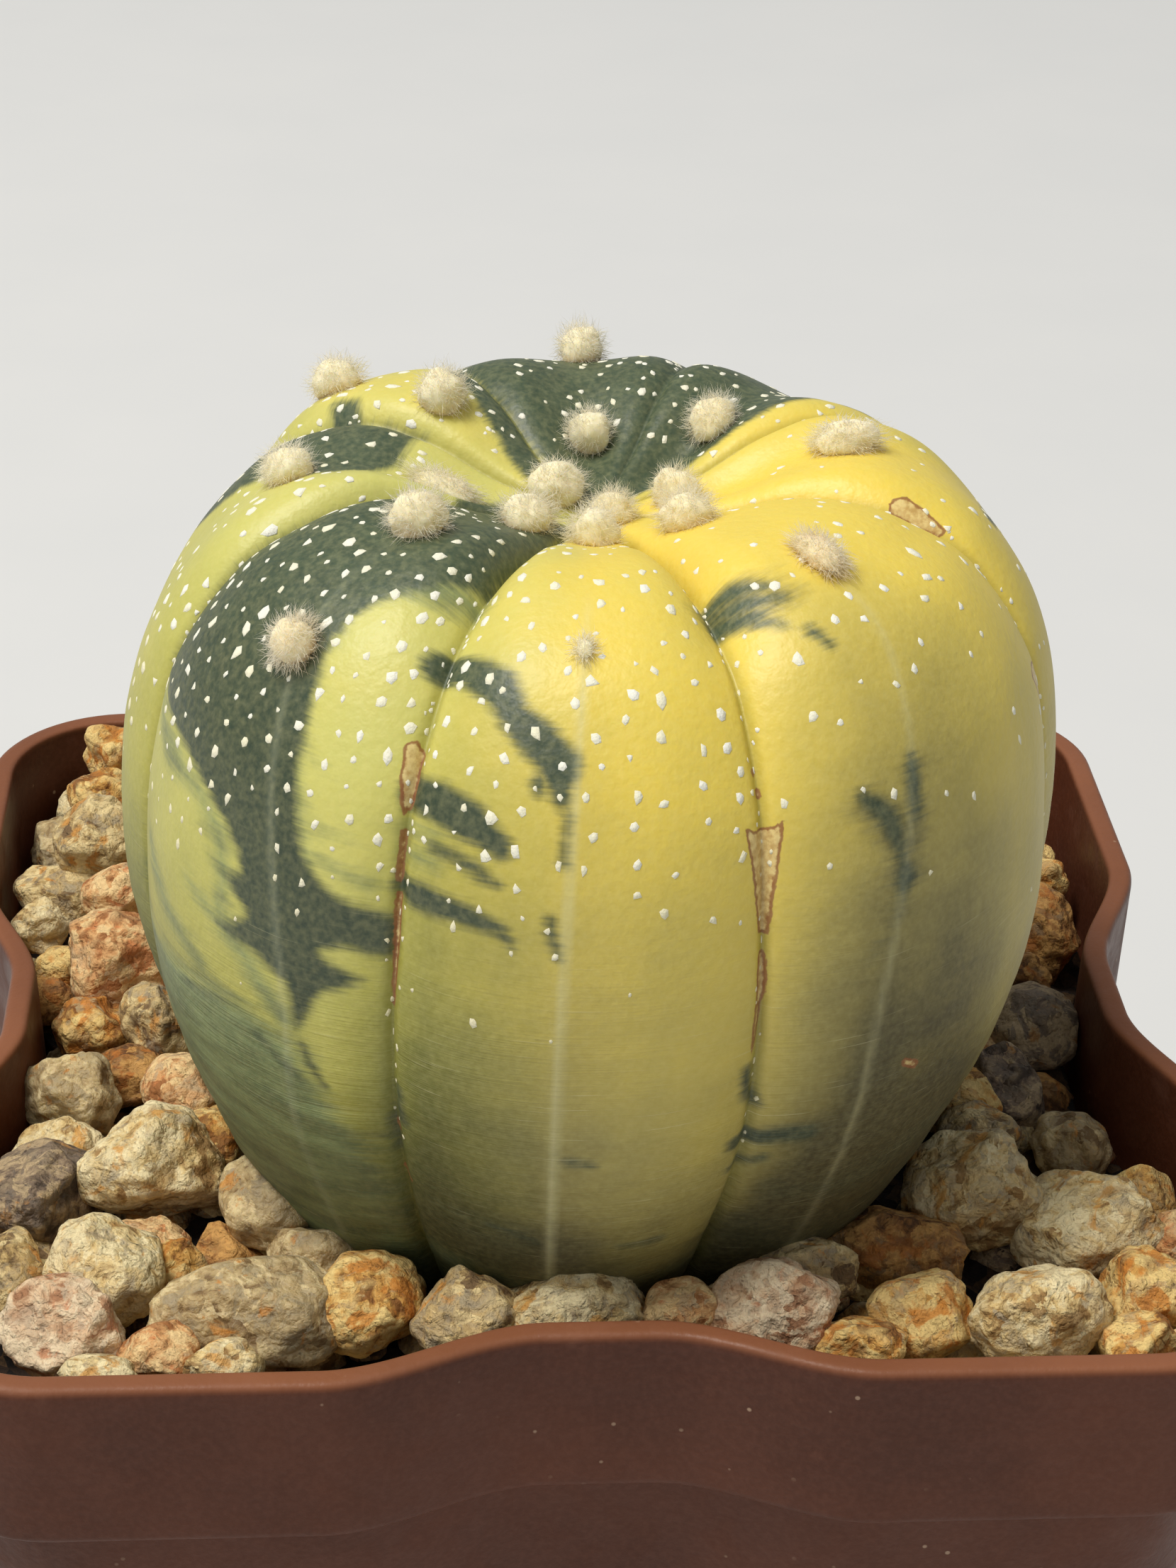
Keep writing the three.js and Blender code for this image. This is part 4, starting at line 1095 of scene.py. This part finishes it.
def outside_half(z):
    """Half the pot's outer width at a height."""
    return np.interp(z, POT_OUTSIDE[:, 0], POT_OUTSIDE[:, 1])


def inside_half(z):
    """Half the pot's inner width at a height."""
    return np.interp(z, POT_INSIDE[:, 0], POT_INSIDE[:, 1])


def pot_profile():
    """Height, half width and share of that outline, from the middle of the floor up the inside,
    over the rounded rim, down the skirt and the tapered body, and back under the foot."""
    rim, half = POT_HEIGHT, POT_WIDTH / 2
    foot = FOOT_HALF - FOOT_RING
    floor = [(FLOOR_TOP, POT_INSIDE[0, 1], share)
             for share in (0.12, 0.3, 0.5, 0.7, 0.85, 0.95, 0.985)]
    wall = [(z, inside_half(z)) for z in (*np.linspace(FLOOR_TOP + 0.05, BODY_TOP - 0.3, 14),
                                          *np.linspace(BODY_TOP, rim - 1.0, 10))]
    lip_in = rounded_edge((rim - 0.5, half - RIM_WALL), (rim, half - RIM_WALL),
                          (rim, half - RIM_WALL + 0.42), 6)
    lip_out = rounded_edge((rim, half - 0.55), (rim, half), (rim - 0.6, half - 0.005), 8)
    skirt = [(z, outside_half(z)) for z in np.linspace(rim - 1.2, BODY_TOP + 1.2, 8)]
    skirt_foot = rounded_edge((BODY_TOP + 0.5, SKIRT_HALF + 0.015), (BODY_TOP, SKIRT_HALF),
                              (BODY_TOP, SKIRT_HALF - 0.45), 6)
    step = rounded_edge((BODY_TOP, BODY_HALF + 0.3), (BODY_TOP, BODY_HALF),
                        (BODY_TOP - 0.4, BODY_HALF - 0.04), 5)
    body = [(z, outside_half(z)) for z in np.linspace(BODY_TOP - 1.0, 1.0, 22)]
    toe = rounded_edge((0.5, FOOT_HALF), (0, FOOT_HALF), (0, FOOT_HALF - 0.5), 5)
    ring = [(0, foot + 0.3), (0.15, foot + 0.04), (0.4, foot), (FLOOR_LIFT, foot)]
    shell = [(z, width, 1.0) for z, width in
             (*wall, *lip_in, *lip_out, *skirt, *skirt_foot, *step, *body, *toe, *ring)]
    under = [(FLOOR_LIFT, foot, share) for share in (0.985, 0.9, 0.75, 0.5, 0.25, 0.12)]
    return floor + shell + under


DRAIN_SIDES = 40
DRAIN_CUT = (5.0, -2.0)  # heights between which a drain's cutter stands


def upright_bar(outline, top, bottom):
    """A closed bar with that plan between two heights."""
    middle = outline.mean(axis=0)
    points = [(*place, z) for z in (top, bottom) for place in outline]
    return (np.array([*points, (*middle, top), (*middle, bottom)]), *shell_faces(2, len(outline)))


def make_pot():
    """The pot as one closed shell carried along pot_profile, with five round drains and a notch in
    the middle of each side cut out of it."""
    rings = []
    for z, half, share in pot_profile():
        plan = pot_outline(z, half) * share
        rings.append(np.column_stack([plan, np.full(len(plan), z)]))
    points = np.concatenate([*rings, [(0, 0, FLOOR_TOP)], [(0, 0, FLOOR_LIFT)]])
    pot = make_piece("pot_shell", points, *shell_faces(len(rings), len(rings[0])))
    turn = np.arange(DRAIN_SIDES) * 2 * math.pi / DRAIN_SIDES
    circle = np.stack([np.cos(turn), np.sin(turn)], -1)
    cutters = [upright_bar(MIDDLE_DRAIN_RADIUS * circle, *DRAIN_CUT)]
    for x in (-DRAIN_OFFSET, DRAIN_OFFSET):
        for y in (-DRAIN_OFFSET, DRAIN_OFFSET):
            cutters.append(upright_bar((x, y) + DRAIN_RADIUS * circle, *DRAIN_CUT))
    square = np.array([(1, 1), (-1, 1), (-1, -1), (1, -1)])
    for reach in ((POT_WIDTH / 2, NOTCH_WIDTH / 2), (NOTCH_WIDTH / 2, POT_WIDTH / 2)):
        cutters.append(upright_bar(square * reach, NOTCH_HEIGHT, -1.0))
    for number, cutter in enumerate(cutters):
        tool = make_piece(f"pot_cutter_{number}", *cutter)
        cut = pot.modifiers.new("cut", "BOOLEAN")
        cut.operation = "DIFFERENCE"
        cut.solver = "EXACT"
        cut.object = tool
        with bpy.context.temp_override(object=pot, active_object=pot):
            bpy.ops.object.modifier_apply(modifier="cut")
        mesh = tool.data
        bpy.data.objects.remove(tool)
        bpy.data.meshes.remove(mesh)
    spot = np.empty(len(pot.data.vertices) * 3, np.float32)
    pot.data.vertices.foreach_get("co", spot)
    # painted light: a share that rises to 1 over the top half millimetre of the rim
    painted_rim_light = smooth_step(spot[2::3] / MM, POT_HEIGHT - 0.45, POT_HEIGHT - 0.05)
    layer = pot.data.attributes.new("rim", "FLOAT", "POINT")
    layer.data.foreach_set("value", painted_rim_light.astype(np.float32))
    return pot


def pot_finish():
    """Moulded brown plastic: paler and pinker along the rim as painted light on its top and edge,
    fine moulding grain, dusty smudges and pale specks, and a soft uneven sheen."""
    f = Finish("brown_plastic", roughness=0.5, Specular_IOR_Level=0.22)
    cloud = f.noise(14.0, 4.0)
    grain = f.noise(0.35)
    smudge = f.noise(3.2, 6.0, 0.65, warp=0.6)
    colour = f.mix(f.ease(cloud, 0.3, 0.7), tone(76, 40, 25), tone(92, 50, 32))
    colour = f.mix(f.ease(smudge, 0.56, 0.75, 0.0, 0.2), colour, tone(130, 92, 76))
    # painted light and sheen on the rim's top and edge, in a paler pinker brown
    rim = f.times(f.field("rim"), f.ease(cloud, 0.2, 0.8, 0.55, 0.9))
    colour = f.mix(rim, colour, tone(150, 96, 66))
    seldom = f.ease(f.noise(5.0, 2.0), 0.5, 0.62)
    speck = f.times(f.ease(f.cells(1.6), 0.05, 0.1, 1.0, 0.0), seldom)
    colour = f.mix(f.times(speck, 0.6), colour, tone(196, 168, 140))
    colour = f.mix(f.ease(grain, 0.3, 0.8, 0.0, 0.12), colour, tone(140, 92, 74))
    scuff = f.streaks(f.scaled(f.place, 160, 160, 1400), rough=0.5)
    gloss = f.total(f.ease(smudge, 0.4, 0.8, 0.36, 0.6), f.times(scuff, 0.1))
    return f.done(colour, gloss, f.bump(cloud, 0.25, f.bump(grain, 0.03)))


# ---- Gravel ----------------------------------------------------------------------------------

def fits(x, y, size):
    """Whether a stone of this size at x, y lies inside the pot and outside the plant."""
    half = inside_half(POT_HEIGHT)
    longest, shortest = max(abs(x), abs(y)), min(abs(x), abs(y))
    in_corner = longest < half - 0.5 * size and math.hypot(x, y) < CORNER_REACH - 0.5 * size
    inside = longest < half - DENT_DEPTH - 0.35 * size if shortest < DENT_REACH else in_corner
    return inside and math.hypot(x - AXIS[0], y - AXIS[1]) > PLANT_RADIUS_IN_GRAVEL + 0.35 * size


def stone_level(x, y):
    """Height of a loose stone's middle: it falls from the plant to the wall."""
    out = math.hypot(x - AXIS[0], y - AXIS[1]) - PLANT_RADIUS_IN_GRAVEL
    share = min(max(out / SLOPE_WIDTH, 0), 1)
    return STONE_LEVEL_AT_PLANT + (STONE_LEVEL_AT_WALL - STONE_LEVEL_AT_PLANT) * share


KIND_SHARES = (("ochre", 0.22), ("granite", 0.2), ("cream", 0.13), ("rust", 0.13), ("amber", 0.13),
               ("umber", 0.08), ("slate", 0.06), ("pink", 0.05))


def kind_for(chance):
    """A kind of stone, drawn by its share."""
    for kind, share in KIND_SHARES:
        chance -= share
        if chance <= 0:
            return kind
    return "ochre"


# Stones that fill the widest gaps, as x, y, height, size and kind.
SLIVERS = (
    (-30.2, 9, -6, 4, 4, 3.4, "umber"), (-24.2, -31, -2.2, 4, 2.4, 2.4, "cream"),
    (-18.4, -30.4, -2.4, 4.2, 2.6, 2.6, "cream"), (31, -19, -4.4, 3, 3.4, 3, "rust"))
LOW_DARTS = 1600
LOW_SPACING = 0.88
LOW_SIZE = (2.6, 1.9)  # the smallest, and how much more the largest is
LOW_DROP = (1.9, 0.8)  # how much lower they lie, at least, and how much more at most


def stone_places():
    """The listed stones, then stones dropped between them wherever there is room, as in the part's
    source, and slivers and a lower layer of small stones that fill the gaps."""
    draw = draws_from(GRAVEL_SEED)
    pick = draws_from(311)
    reach = inside_half(POT_HEIGHT)

    def dart(numbers):
        """A place drawn anywhere over the pot."""
        return reach * (2 * next(numbers) - 1), reach * (2 * next(numbers) - 1)

    def free(x, y, size, others, spacing):
        """Whether a stone keeps its share of both stones' mean length from all others."""
        return all(math.hypot(p[0] - x, p[1] - y) > spacing * (p[3][0] + size) / 2 for p in others)

    places = [(x, y, z, (a, b, c), kind, 2) for x, y, z, a, b, c, kind in STONES]
    for _ in range(GRAVEL_DARTS):
        x, y = dart(draw)
        length = SMALLEST_STONE + (LARGEST_STONE - SMALLEST_STONE) * next(draw) ** 2
        if free(x, y, length, places, STONE_SPACING) and fits(x, y, length):
            flat = length * STONE_FLATNESS
            places.append((x, y, stone_level(x, y), (length, flat, flat), kind_for(next(pick)), 1))
    places += [(x, y, z, (a, b, c), kind, 0) for x, y, z, a, b, c, kind in SLIVERS]
    fill = draws_from(90127)
    low = []
    for _ in range(LOW_DARTS):
        x, y = dart(fill)
        size = LOW_SIZE[0] + LOW_SIZE[1] * next(fill)
        if free(x, y, size, low, LOW_SPACING) and fits(x, y, size):
            flat = size * (0.7 + 0.25 * next(fill))
            level = stone_level(x, y) - LOW_DROP[0] - LOW_DROP[1] * next(fill)
            low.append((x, y, level, (size, flat, flat), kind_for(next(pick)), 0))
    return places + low


def grains(points, size, seed):
    """Distance, in grain sizes, to the nearest of a set of points strewn one to a cell."""
    place = np.asarray(points) / size
    cell = np.floor(place).astype(np.int64)
    best = np.full(place.shape[:-1], 9.0)
    for corner in np.ndindex(3, 3, 3):
        near = cell + np.array(corner) - 1
        spot = near + 0.5 + 0.45 * np.stack([cell_value(near, seed + k) for k in range(3)], -1)
        best = np.minimum(best, np.linalg.norm(place - spot, axis=-1))
    return best


STONE_MESHES = ((9, 16), (22, 36), (42, 68))  # rows and columns, from coarse to fine
PLANES = 60
STONE_SWELL = 1.12  # makes up for what the planes cut off
BULGE_SIZE = 1.5
STONE_PITS = (0.12, 0.5, 33)


def make_stone(number, x, y, z, size, fineness):
    """One stone: for each direction, the reach to a few large and many small cutting planes joined
    by a power sum, then grains that bulge and noise that pits, scaled to its size, turned and put
    in place."""
    cloud = np.random.default_rng(1000 + number)
    rows, columns = STONE_MESHES[fineness]
    directions = ball_directions(rows, columns)
    planes = unit(cloud.normal(size=(PLANES, 3)))
    distance = 0.9 + 0.16 * cloud.random(PLANES)
    cuts = cloud.integers(8, 14)
    distance[:cuts] = 0.66 + 0.3 * cloud.random(cuts)
    power = 30 + 50 * cloud.random()
    facing = np.maximum(directions @ planes.T, 1e-6) / distance
    reach = (facing ** power).sum(axis=1) ** (-1 / power)
    reach = STONE_SWELL * np.minimum(reach, 1.06)
    spot = directions * reach[:, None] * max(size) / 2 + 37.0 * number
    rough = 0.3 + 0.7 * cloud.random() ** 0.7
    warp = np.stack([lumps(spot, 0.9, 40 + k) for k in range(3)], -1)
    bulge = 0.5 - grains(spot + 0.35 * warp, BULGE_SIZE, 31)
    ledge = 1 - 2 * np.abs(lumps(spot, 1.9, 34))
    swell = rough * (0.5 * bulge + 0.14 * ledge + layered(spot, STONE_PITS) - 0.06)
    reach = reach + swell * 2 / max(size)
    tilt = Matrix.Rotation(0.5 * (cloud.random() - 0.5), 3, "X")
    tilt = Matrix.Rotation(0.7 * (cloud.random() - 0.5), 3, "Z") @ tilt
    shape = directions * reach[:, None] * (np.array(size) / 2)
    points = shape @ np.array(tilt).T + np.array([x, y, POT_HEIGHT + z])
    # hollow runs from -1 where the stone stands out to 1 where it lies in; the finish paints light
    # and shade by it and gathers stain in it
    fields = {"stone": cloud.random(), "hollow": np.clip(-swell * 3, -1, 1)}
    return (points, *shell_faces(rows, columns), fields)


def make_stones():
    """All stones, gathered into one piece for each kind."""
    kinds = {}
    for number, (x, y, z, size, kind, fineness) in enumerate(stone_places()):
        kinds.setdefault(kind, []).append(make_stone(number, x, y, z, size, fineness))
    return {kind: make_piece(f"stones_{kind}", *gather(parts)) for kind, parts in kinds.items()}


GRIT_TOP = POT_HEIGHT - 6.8
GRIT_BASE = POT_HEIGHT - 13.4
GRIT_HEAP = 1.3  # how much higher it lies round the plant
GRIT_FALL = 1.6
GRIT_LUMPS = ((0.5, 2.2, 51), (0.3, 0.9, 52))


def make_grit():
    """The dark grit under the stones: the pot's inner plan, shrunk in steps to the middle, its
    height falling towards the wall and roughened by noise, closed by a flat underside."""
    plan = pot_outline(GRIT_TOP, inside_half(GRIT_TOP) - 2 * GAP)
    rings = []
    for share in (*np.linspace(0.06, 0.94, 40), 0.97, 0.99, 1.0):
        flat = plan * share
        out = np.hypot(flat[:, 0] - AXIS[0], flat[:, 1] - AXIS[1]) - PLANT_RADIUS_IN_GRAVEL
        level = GRIT_TOP + GRIT_HEAP - GRIT_FALL * np.clip(out / SLOPE_WIDTH, 0, 1)
        spot = np.column_stack([flat, np.zeros(len(flat))])
        rings.append(np.column_stack([flat, level + layered(spot, *GRIT_LUMPS)]))
    low_plan = pot_outline(GRIT_BASE, inside_half(GRIT_BASE) - 2 * GAP)
    rings += [np.column_stack([low_plan * share, np.full(len(plan), GRIT_BASE)])
              for share in (1.0, 0.5)]
    points = np.concatenate([*rings, [(0, 0, GRIT_TOP + GRIT_HEAP)], [(0, 0, GRIT_BASE)]])
    return make_piece("gravel_grit", points, *shell_faces(len(rings), len(plan)))


DUST = (1.0, 0.95, 0.84, 1.0)  # a warm cast over every stone


def stone_finish(kind, crust, main, deep, glass, stain, glassy, stained, clear):
    """Broken weathered rock: a crust of two tones, paler on what stands out, partly as painted
    light, and painted shade in what lies deep, clear-edged patches of grey quartz, blotches of iron
    stain that gather in the hollows, fine dark grains, and light that enters clear kinds."""
    f = Finish(f"rock_{kind}", Subsurface_Weight=clear, Subsurface_Radius=(1.0, 0.8, 0.5),
               Subsurface_Scale=0.0014)
    own, hollow = f.field("stone"), f.field("hollow")
    # each stone reads the noises at a place of its own
    shift = f.add("ShaderNodeCombineXYZ", X=f.times(own, 0.4), Y=f.times(own, 0.23),
                  Z=f.times(own, 0.31)).outputs[0]
    place = f.add("ShaderNodeVectorMath", {"operation": "ADD"}, i0=f.place, i1=shift).outputs[0]
    wobble = f.add("ShaderNodeTexNoise", Vector=place, Scale=1 / (0.8 * MM), Detail=3.0)
    bent = f.add("ShaderNodeVectorMath", {"operation": "MULTIPLY_ADD"}, i0=wobble.outputs["Color"],
                 i1=(1.2 * MM, 1.2 * MM, 1.2 * MM), i2=place).outputs[0]
    cloud = f.noise(3.2, 4.0, 0.6, place, 0.5)
    vein = f.noise(1.0, 6.0, 0.62, place, 0.9)
    fine = f.noise(0.2, 4.0, 0.6, place)
    grain = f.cell_tone(1.2, bent)
    tones = f.total(f.times(cloud, 0.45), f.times(vein, 0.4), f.times(grain, 0.15),
                    f.swing(own, 0.1))
    colour = f.ramp(tones, (0.4, deep), (0.452, main), (0.518, crust))
    # quartz
    patch = f.total(f.noise(2.4, 4.0, 0.55, place, 1.4), f.swing(grain, 0.16))
    limit = 0.66 - 0.3 * glassy
    quartz = f.mix(f.ease(vein, 0.35, 0.65), glass, main)
    colour = f.mix(f.ease(patch, limit, limit + 0.035, 0.0, 0.85), colour, quartz)
    # iron stain
    blotch = f.total(f.noise(1.7, 6.0, 0.6, place, 0.7), f.times(hollow, 0.1))
    limit = 0.68 - 0.3 * stained
    colour = f.mix(f.ease(blotch, limit, limit + 0.09, 0.0, 0.85), colour, stain)
    # pale crust on what stands out, partly painted light, and painted shade in the deep tone where
    # it lies deep
    colour = f.mix(f.ease(hollow, -0.7, 0.0, 0.6, 0.0), colour, crust)
    colour = f.mix(f.ease(hollow, 0.2, 0.9, 0.0, 0.6), colour, deep)
    # dark grains and dust
    speck = f.times(f.ease(f.cells(0.5, vector=place), 0.1, 0.2, 1.0, 0.0),
                    f.ease(vein, 0.55, 0.6))
    colour = f.mix(f.times(speck, 0.5), colour, tone(78, 70, 62))
    colour = f.mix(f.ease(fine, 0.32, 0.65, 0.22, 0.0), colour, deep)
    colour = f.mix(1.0, colour, DUST, "MULTIPLY")
    depth = 0.34 * (1 - 0.6 * clear)
    normal = f.bump(f.math("SUBTRACT", 1.0, f.cells(0.75, vector=bent)), 0.9 * depth)
    normal = f.bump(fine, 0.3 * depth, f.bump(vein, depth, normal))
    gloss = f.math("SUBTRACT", 0.86 - 0.5 * clear, f.ease(patch, 0.5, 0.6, 0.0, 0.2))
    return f.done(colour, gloss, normal)


def grit_finish():
    """Dark grit and dust between the stones."""
    f = Finish("dark_grit", roughness=0.95)
    fine = f.noise(0.4, 5.0)
    colour = f.ramp(f.cell_tone(1.1), (0.1, tone(20, 13, 9)), (0.6, tone(48, 32, 20)),
                    (0.95, tone(100, 74, 44)))
    colour = f.mix(f.ease(fine, 0.35, 0.7, 0.6, 0.0), colour, tone(20, 14, 10))
    return f.done(colour, None, f.bump(f.cells(1.1), 0.5, f.bump(fine, 0.3)))


def soil_finish():
    """Loose potting mix: dark crumbs with bark-brown and pale bits."""
    f = Finish("potting_mix", roughness=0.97)
    fine = f.noise(0.6, 6.0, 0.65)
    colour = f.ramp(f.cell_tone(1.6, channel=1), (0.1, tone(30, 22, 16)), (0.7, tone(66, 48, 34)),
                    (0.93, tone(98, 74, 50)), (0.98, tone(190, 182, 168)))
    colour = f.mix(f.ease(fine, 0.35, 0.7, 0.5, 0.0), colour, tone(22, 16, 12))
    return f.done(colour, None, f.bump(f.cells(1.6), 0.8, f.bump(fine, 0.5)))


# ---- Stage -----------------------------------------------------------------------------------
# Lamps and camera are placed in metres, as the frame is.

FLOOR_HALF = 3000.0  # in millimetres
SKY_COLOUR, SKY_STRENGTH = (0.92, 0.96, 1.0, 1.0), 0.31
LAMP_AIM = (0, 0, 0.08)
# Each lamp's place, width, power and colour.
LAMPS = {"key": ((-0.62, -0.22, 1.7), 0.7, 28.5, (1.0, 0.96, 0.89)),
         "fill": ((-1.1, -1.3, 0.7), 1.0, 1.2, (1.0, 0.97, 0.92))}
CAMERA_PITCH, CAMERA_YAW, CAMERA_ROLL = 28.595, -3.941, 1.287
CAMERA_DISTANCE = 0.18744
CAMERA_AIM = (0.000898, 0.0, 0.083336)
SENSOR_HEIGHT, LENS = 36.0, 78.47


def place_in_scene(name, data, right, up, back, place):
    """A lamp or camera at a place, with its own x, y and z along the three ways."""
    thing = bpy.data.objects.new(name, data)
    rows = [(right[i], up[i], back[i], place[i]) for i in range(3)]
    thing.matrix_world = Matrix([*rows, (0, 0, 0, 1)])
    bpy.context.scene.collection.objects.link(thing)
    return thing


def make_stage():
    """A pale plain floor, one large soft lamp high on the left, a weak one from the left front,
    and even light from all round."""
    size = FLOOR_HALF
    corners = np.array([(-size, size, 0), (-size, -size, 0), (size, -size, 0), (size, size, 0)])
    floor = make_piece("floor", corners, [(0, 1, 2, 3)])
    f = Finish("pale_floor", roughness=0.9)
    weave = f.noise(30.0, 4.0)
    floor.data.materials.append(f.done(f.mix(weave, tone(221, 222, 222), tone(227, 227, 226))))
    world = bpy.data.worlds.new("soft_room")
    world.use_nodes = True
    sky = world.node_tree.nodes["Background"]
    sky.inputs["Color"].default_value = SKY_COLOUR
    sky.inputs["Strength"].default_value = SKY_STRENGTH
    bpy.context.scene.world = world
    for name, (place, width, power, colour) in LAMPS.items():
        lamp = bpy.data.lights.new(name, "AREA")
        lamp.shape = "DISK"
        lamp.size = width
        lamp.energy = power
        lamp.color = colour
        back = unit(np.array(place) - np.array(LAMP_AIM))
        side = unit(np.cross((0, 0, 1), back))
        place_in_scene(name, lamp, side, np.cross(back, side), back, place)


def make_camera():
    """The photograph's view: from the front and above, a little to the left, and close."""
    pitch, yaw, roll = np.radians([CAMERA_PITCH, CAMERA_YAW, CAMERA_ROLL])
    back = np.array([math.sin(yaw) * math.cos(pitch), -math.cos(yaw) * math.cos(pitch),
                     math.sin(pitch)])
    level = unit(np.cross(-back, (0, 0, 1)))
    upright = np.cross(level, -back)
    right = math.cos(roll) * level + math.sin(roll) * upright
    up = math.cos(roll) * upright - math.sin(roll) * level
    lens = bpy.data.cameras.new("camera")
    lens.sensor_fit = "VERTICAL"
    lens.sensor_height = SENSOR_HEIGHT
    lens.lens = LENS
    lens.clip_start = 0.01
    place = np.array(CAMERA_AIM) + CAMERA_DISTANCE * back
    bpy.context.scene.camera = place_in_scene("camera", lens, right, up, back, place)


# ---- The whole -------------------------------------------------------------------------------

make_stage()
make_camera()

settle(make_body(), skin_finish(), "cactus_skin", "cactus")
settle(make_flecks(), fleck_finish(), "cactus_wool")
tuft_cores, tuft_hairs = make_tufts()
# Each wool has its lightest tone, the tone for its tan and painted shade underneath, and its hair
# tone.
settle(tuft_cores, wool_finish("felted_wool", tone(255, 242, 208), tone(242, 200, 138),
                               tone(255, 232, 186)), "cactus_wool")
settle(tuft_hairs, wool_finish("wool_fibres", tone(255, 248, 220), tone(246, 214, 156),
                               tone(255, 252, 236)), "cactus_wool")
settle(make_pot(), pot_finish(), "pot_plastic", "pot")

# Crust, main, deep, quartz and stain tones, then shares of quartz, of stain and of clearness.
ROCKS = {
    "cream": ((255, 242, 202), (238, 212, 154), (166, 132, 84), (186, 176, 156), (224, 166, 84),
              0.4, 0.35, 0.05),
    "granite": ((246, 226, 176), (206, 178, 124), (126, 102, 72), (160, 150, 134), (222, 158, 74),
                0.55, 0.45, 0.08),
    "ochre": ((250, 222, 154), (224, 172, 92), (146, 98, 48), (186, 168, 136), (218, 142, 56),
              0.35, 0.5, 0.06),
    "rust": ((252, 222, 170), (230, 178, 124), (168, 112, 66), (206, 184, 152), (222, 142, 88),
             0.35, 0.38, 0.06),
    "amber": ((232, 214, 172), (188, 166, 124), (132, 108, 74), (172, 160, 136), (216, 152, 72),
              0.6, 0.28, 0.4),
    "pink": ((252, 234, 206), (236, 202, 168), (176, 130, 98), (202, 184, 162), (222, 156, 118),
             0.3, 0.3, 0.08),
    "slate": ((200, 178, 146), (134, 116, 102), (76, 64, 56), (118, 108, 100), (190, 140, 80),
              0.45, 0.25, 0.05),
    "umber": ((214, 166, 100), (168, 118, 64), (96, 64, 36), (146, 122, 92), (192, 120, 50),
              0.35, 0.45, 0.12),
}
for kind, stones in make_stones().items():
    *tones, glassy, stained, clear = ROCKS[kind]
    rock = stone_finish(kind, *(tone(*screen) for screen in tones), glassy, stained, clear)
    settle(stones, rock, "gravel_stone", "gravel")
settle(make_grit(), grit_finish(), "gravel_stone", "gravel")
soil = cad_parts["soil"]
soil.data.materials.clear()
soil.data.materials.append(soil_finish())

bpy.context.scene.view_settings.view_transform = "Standard"
bpy.context.view_layer.update()
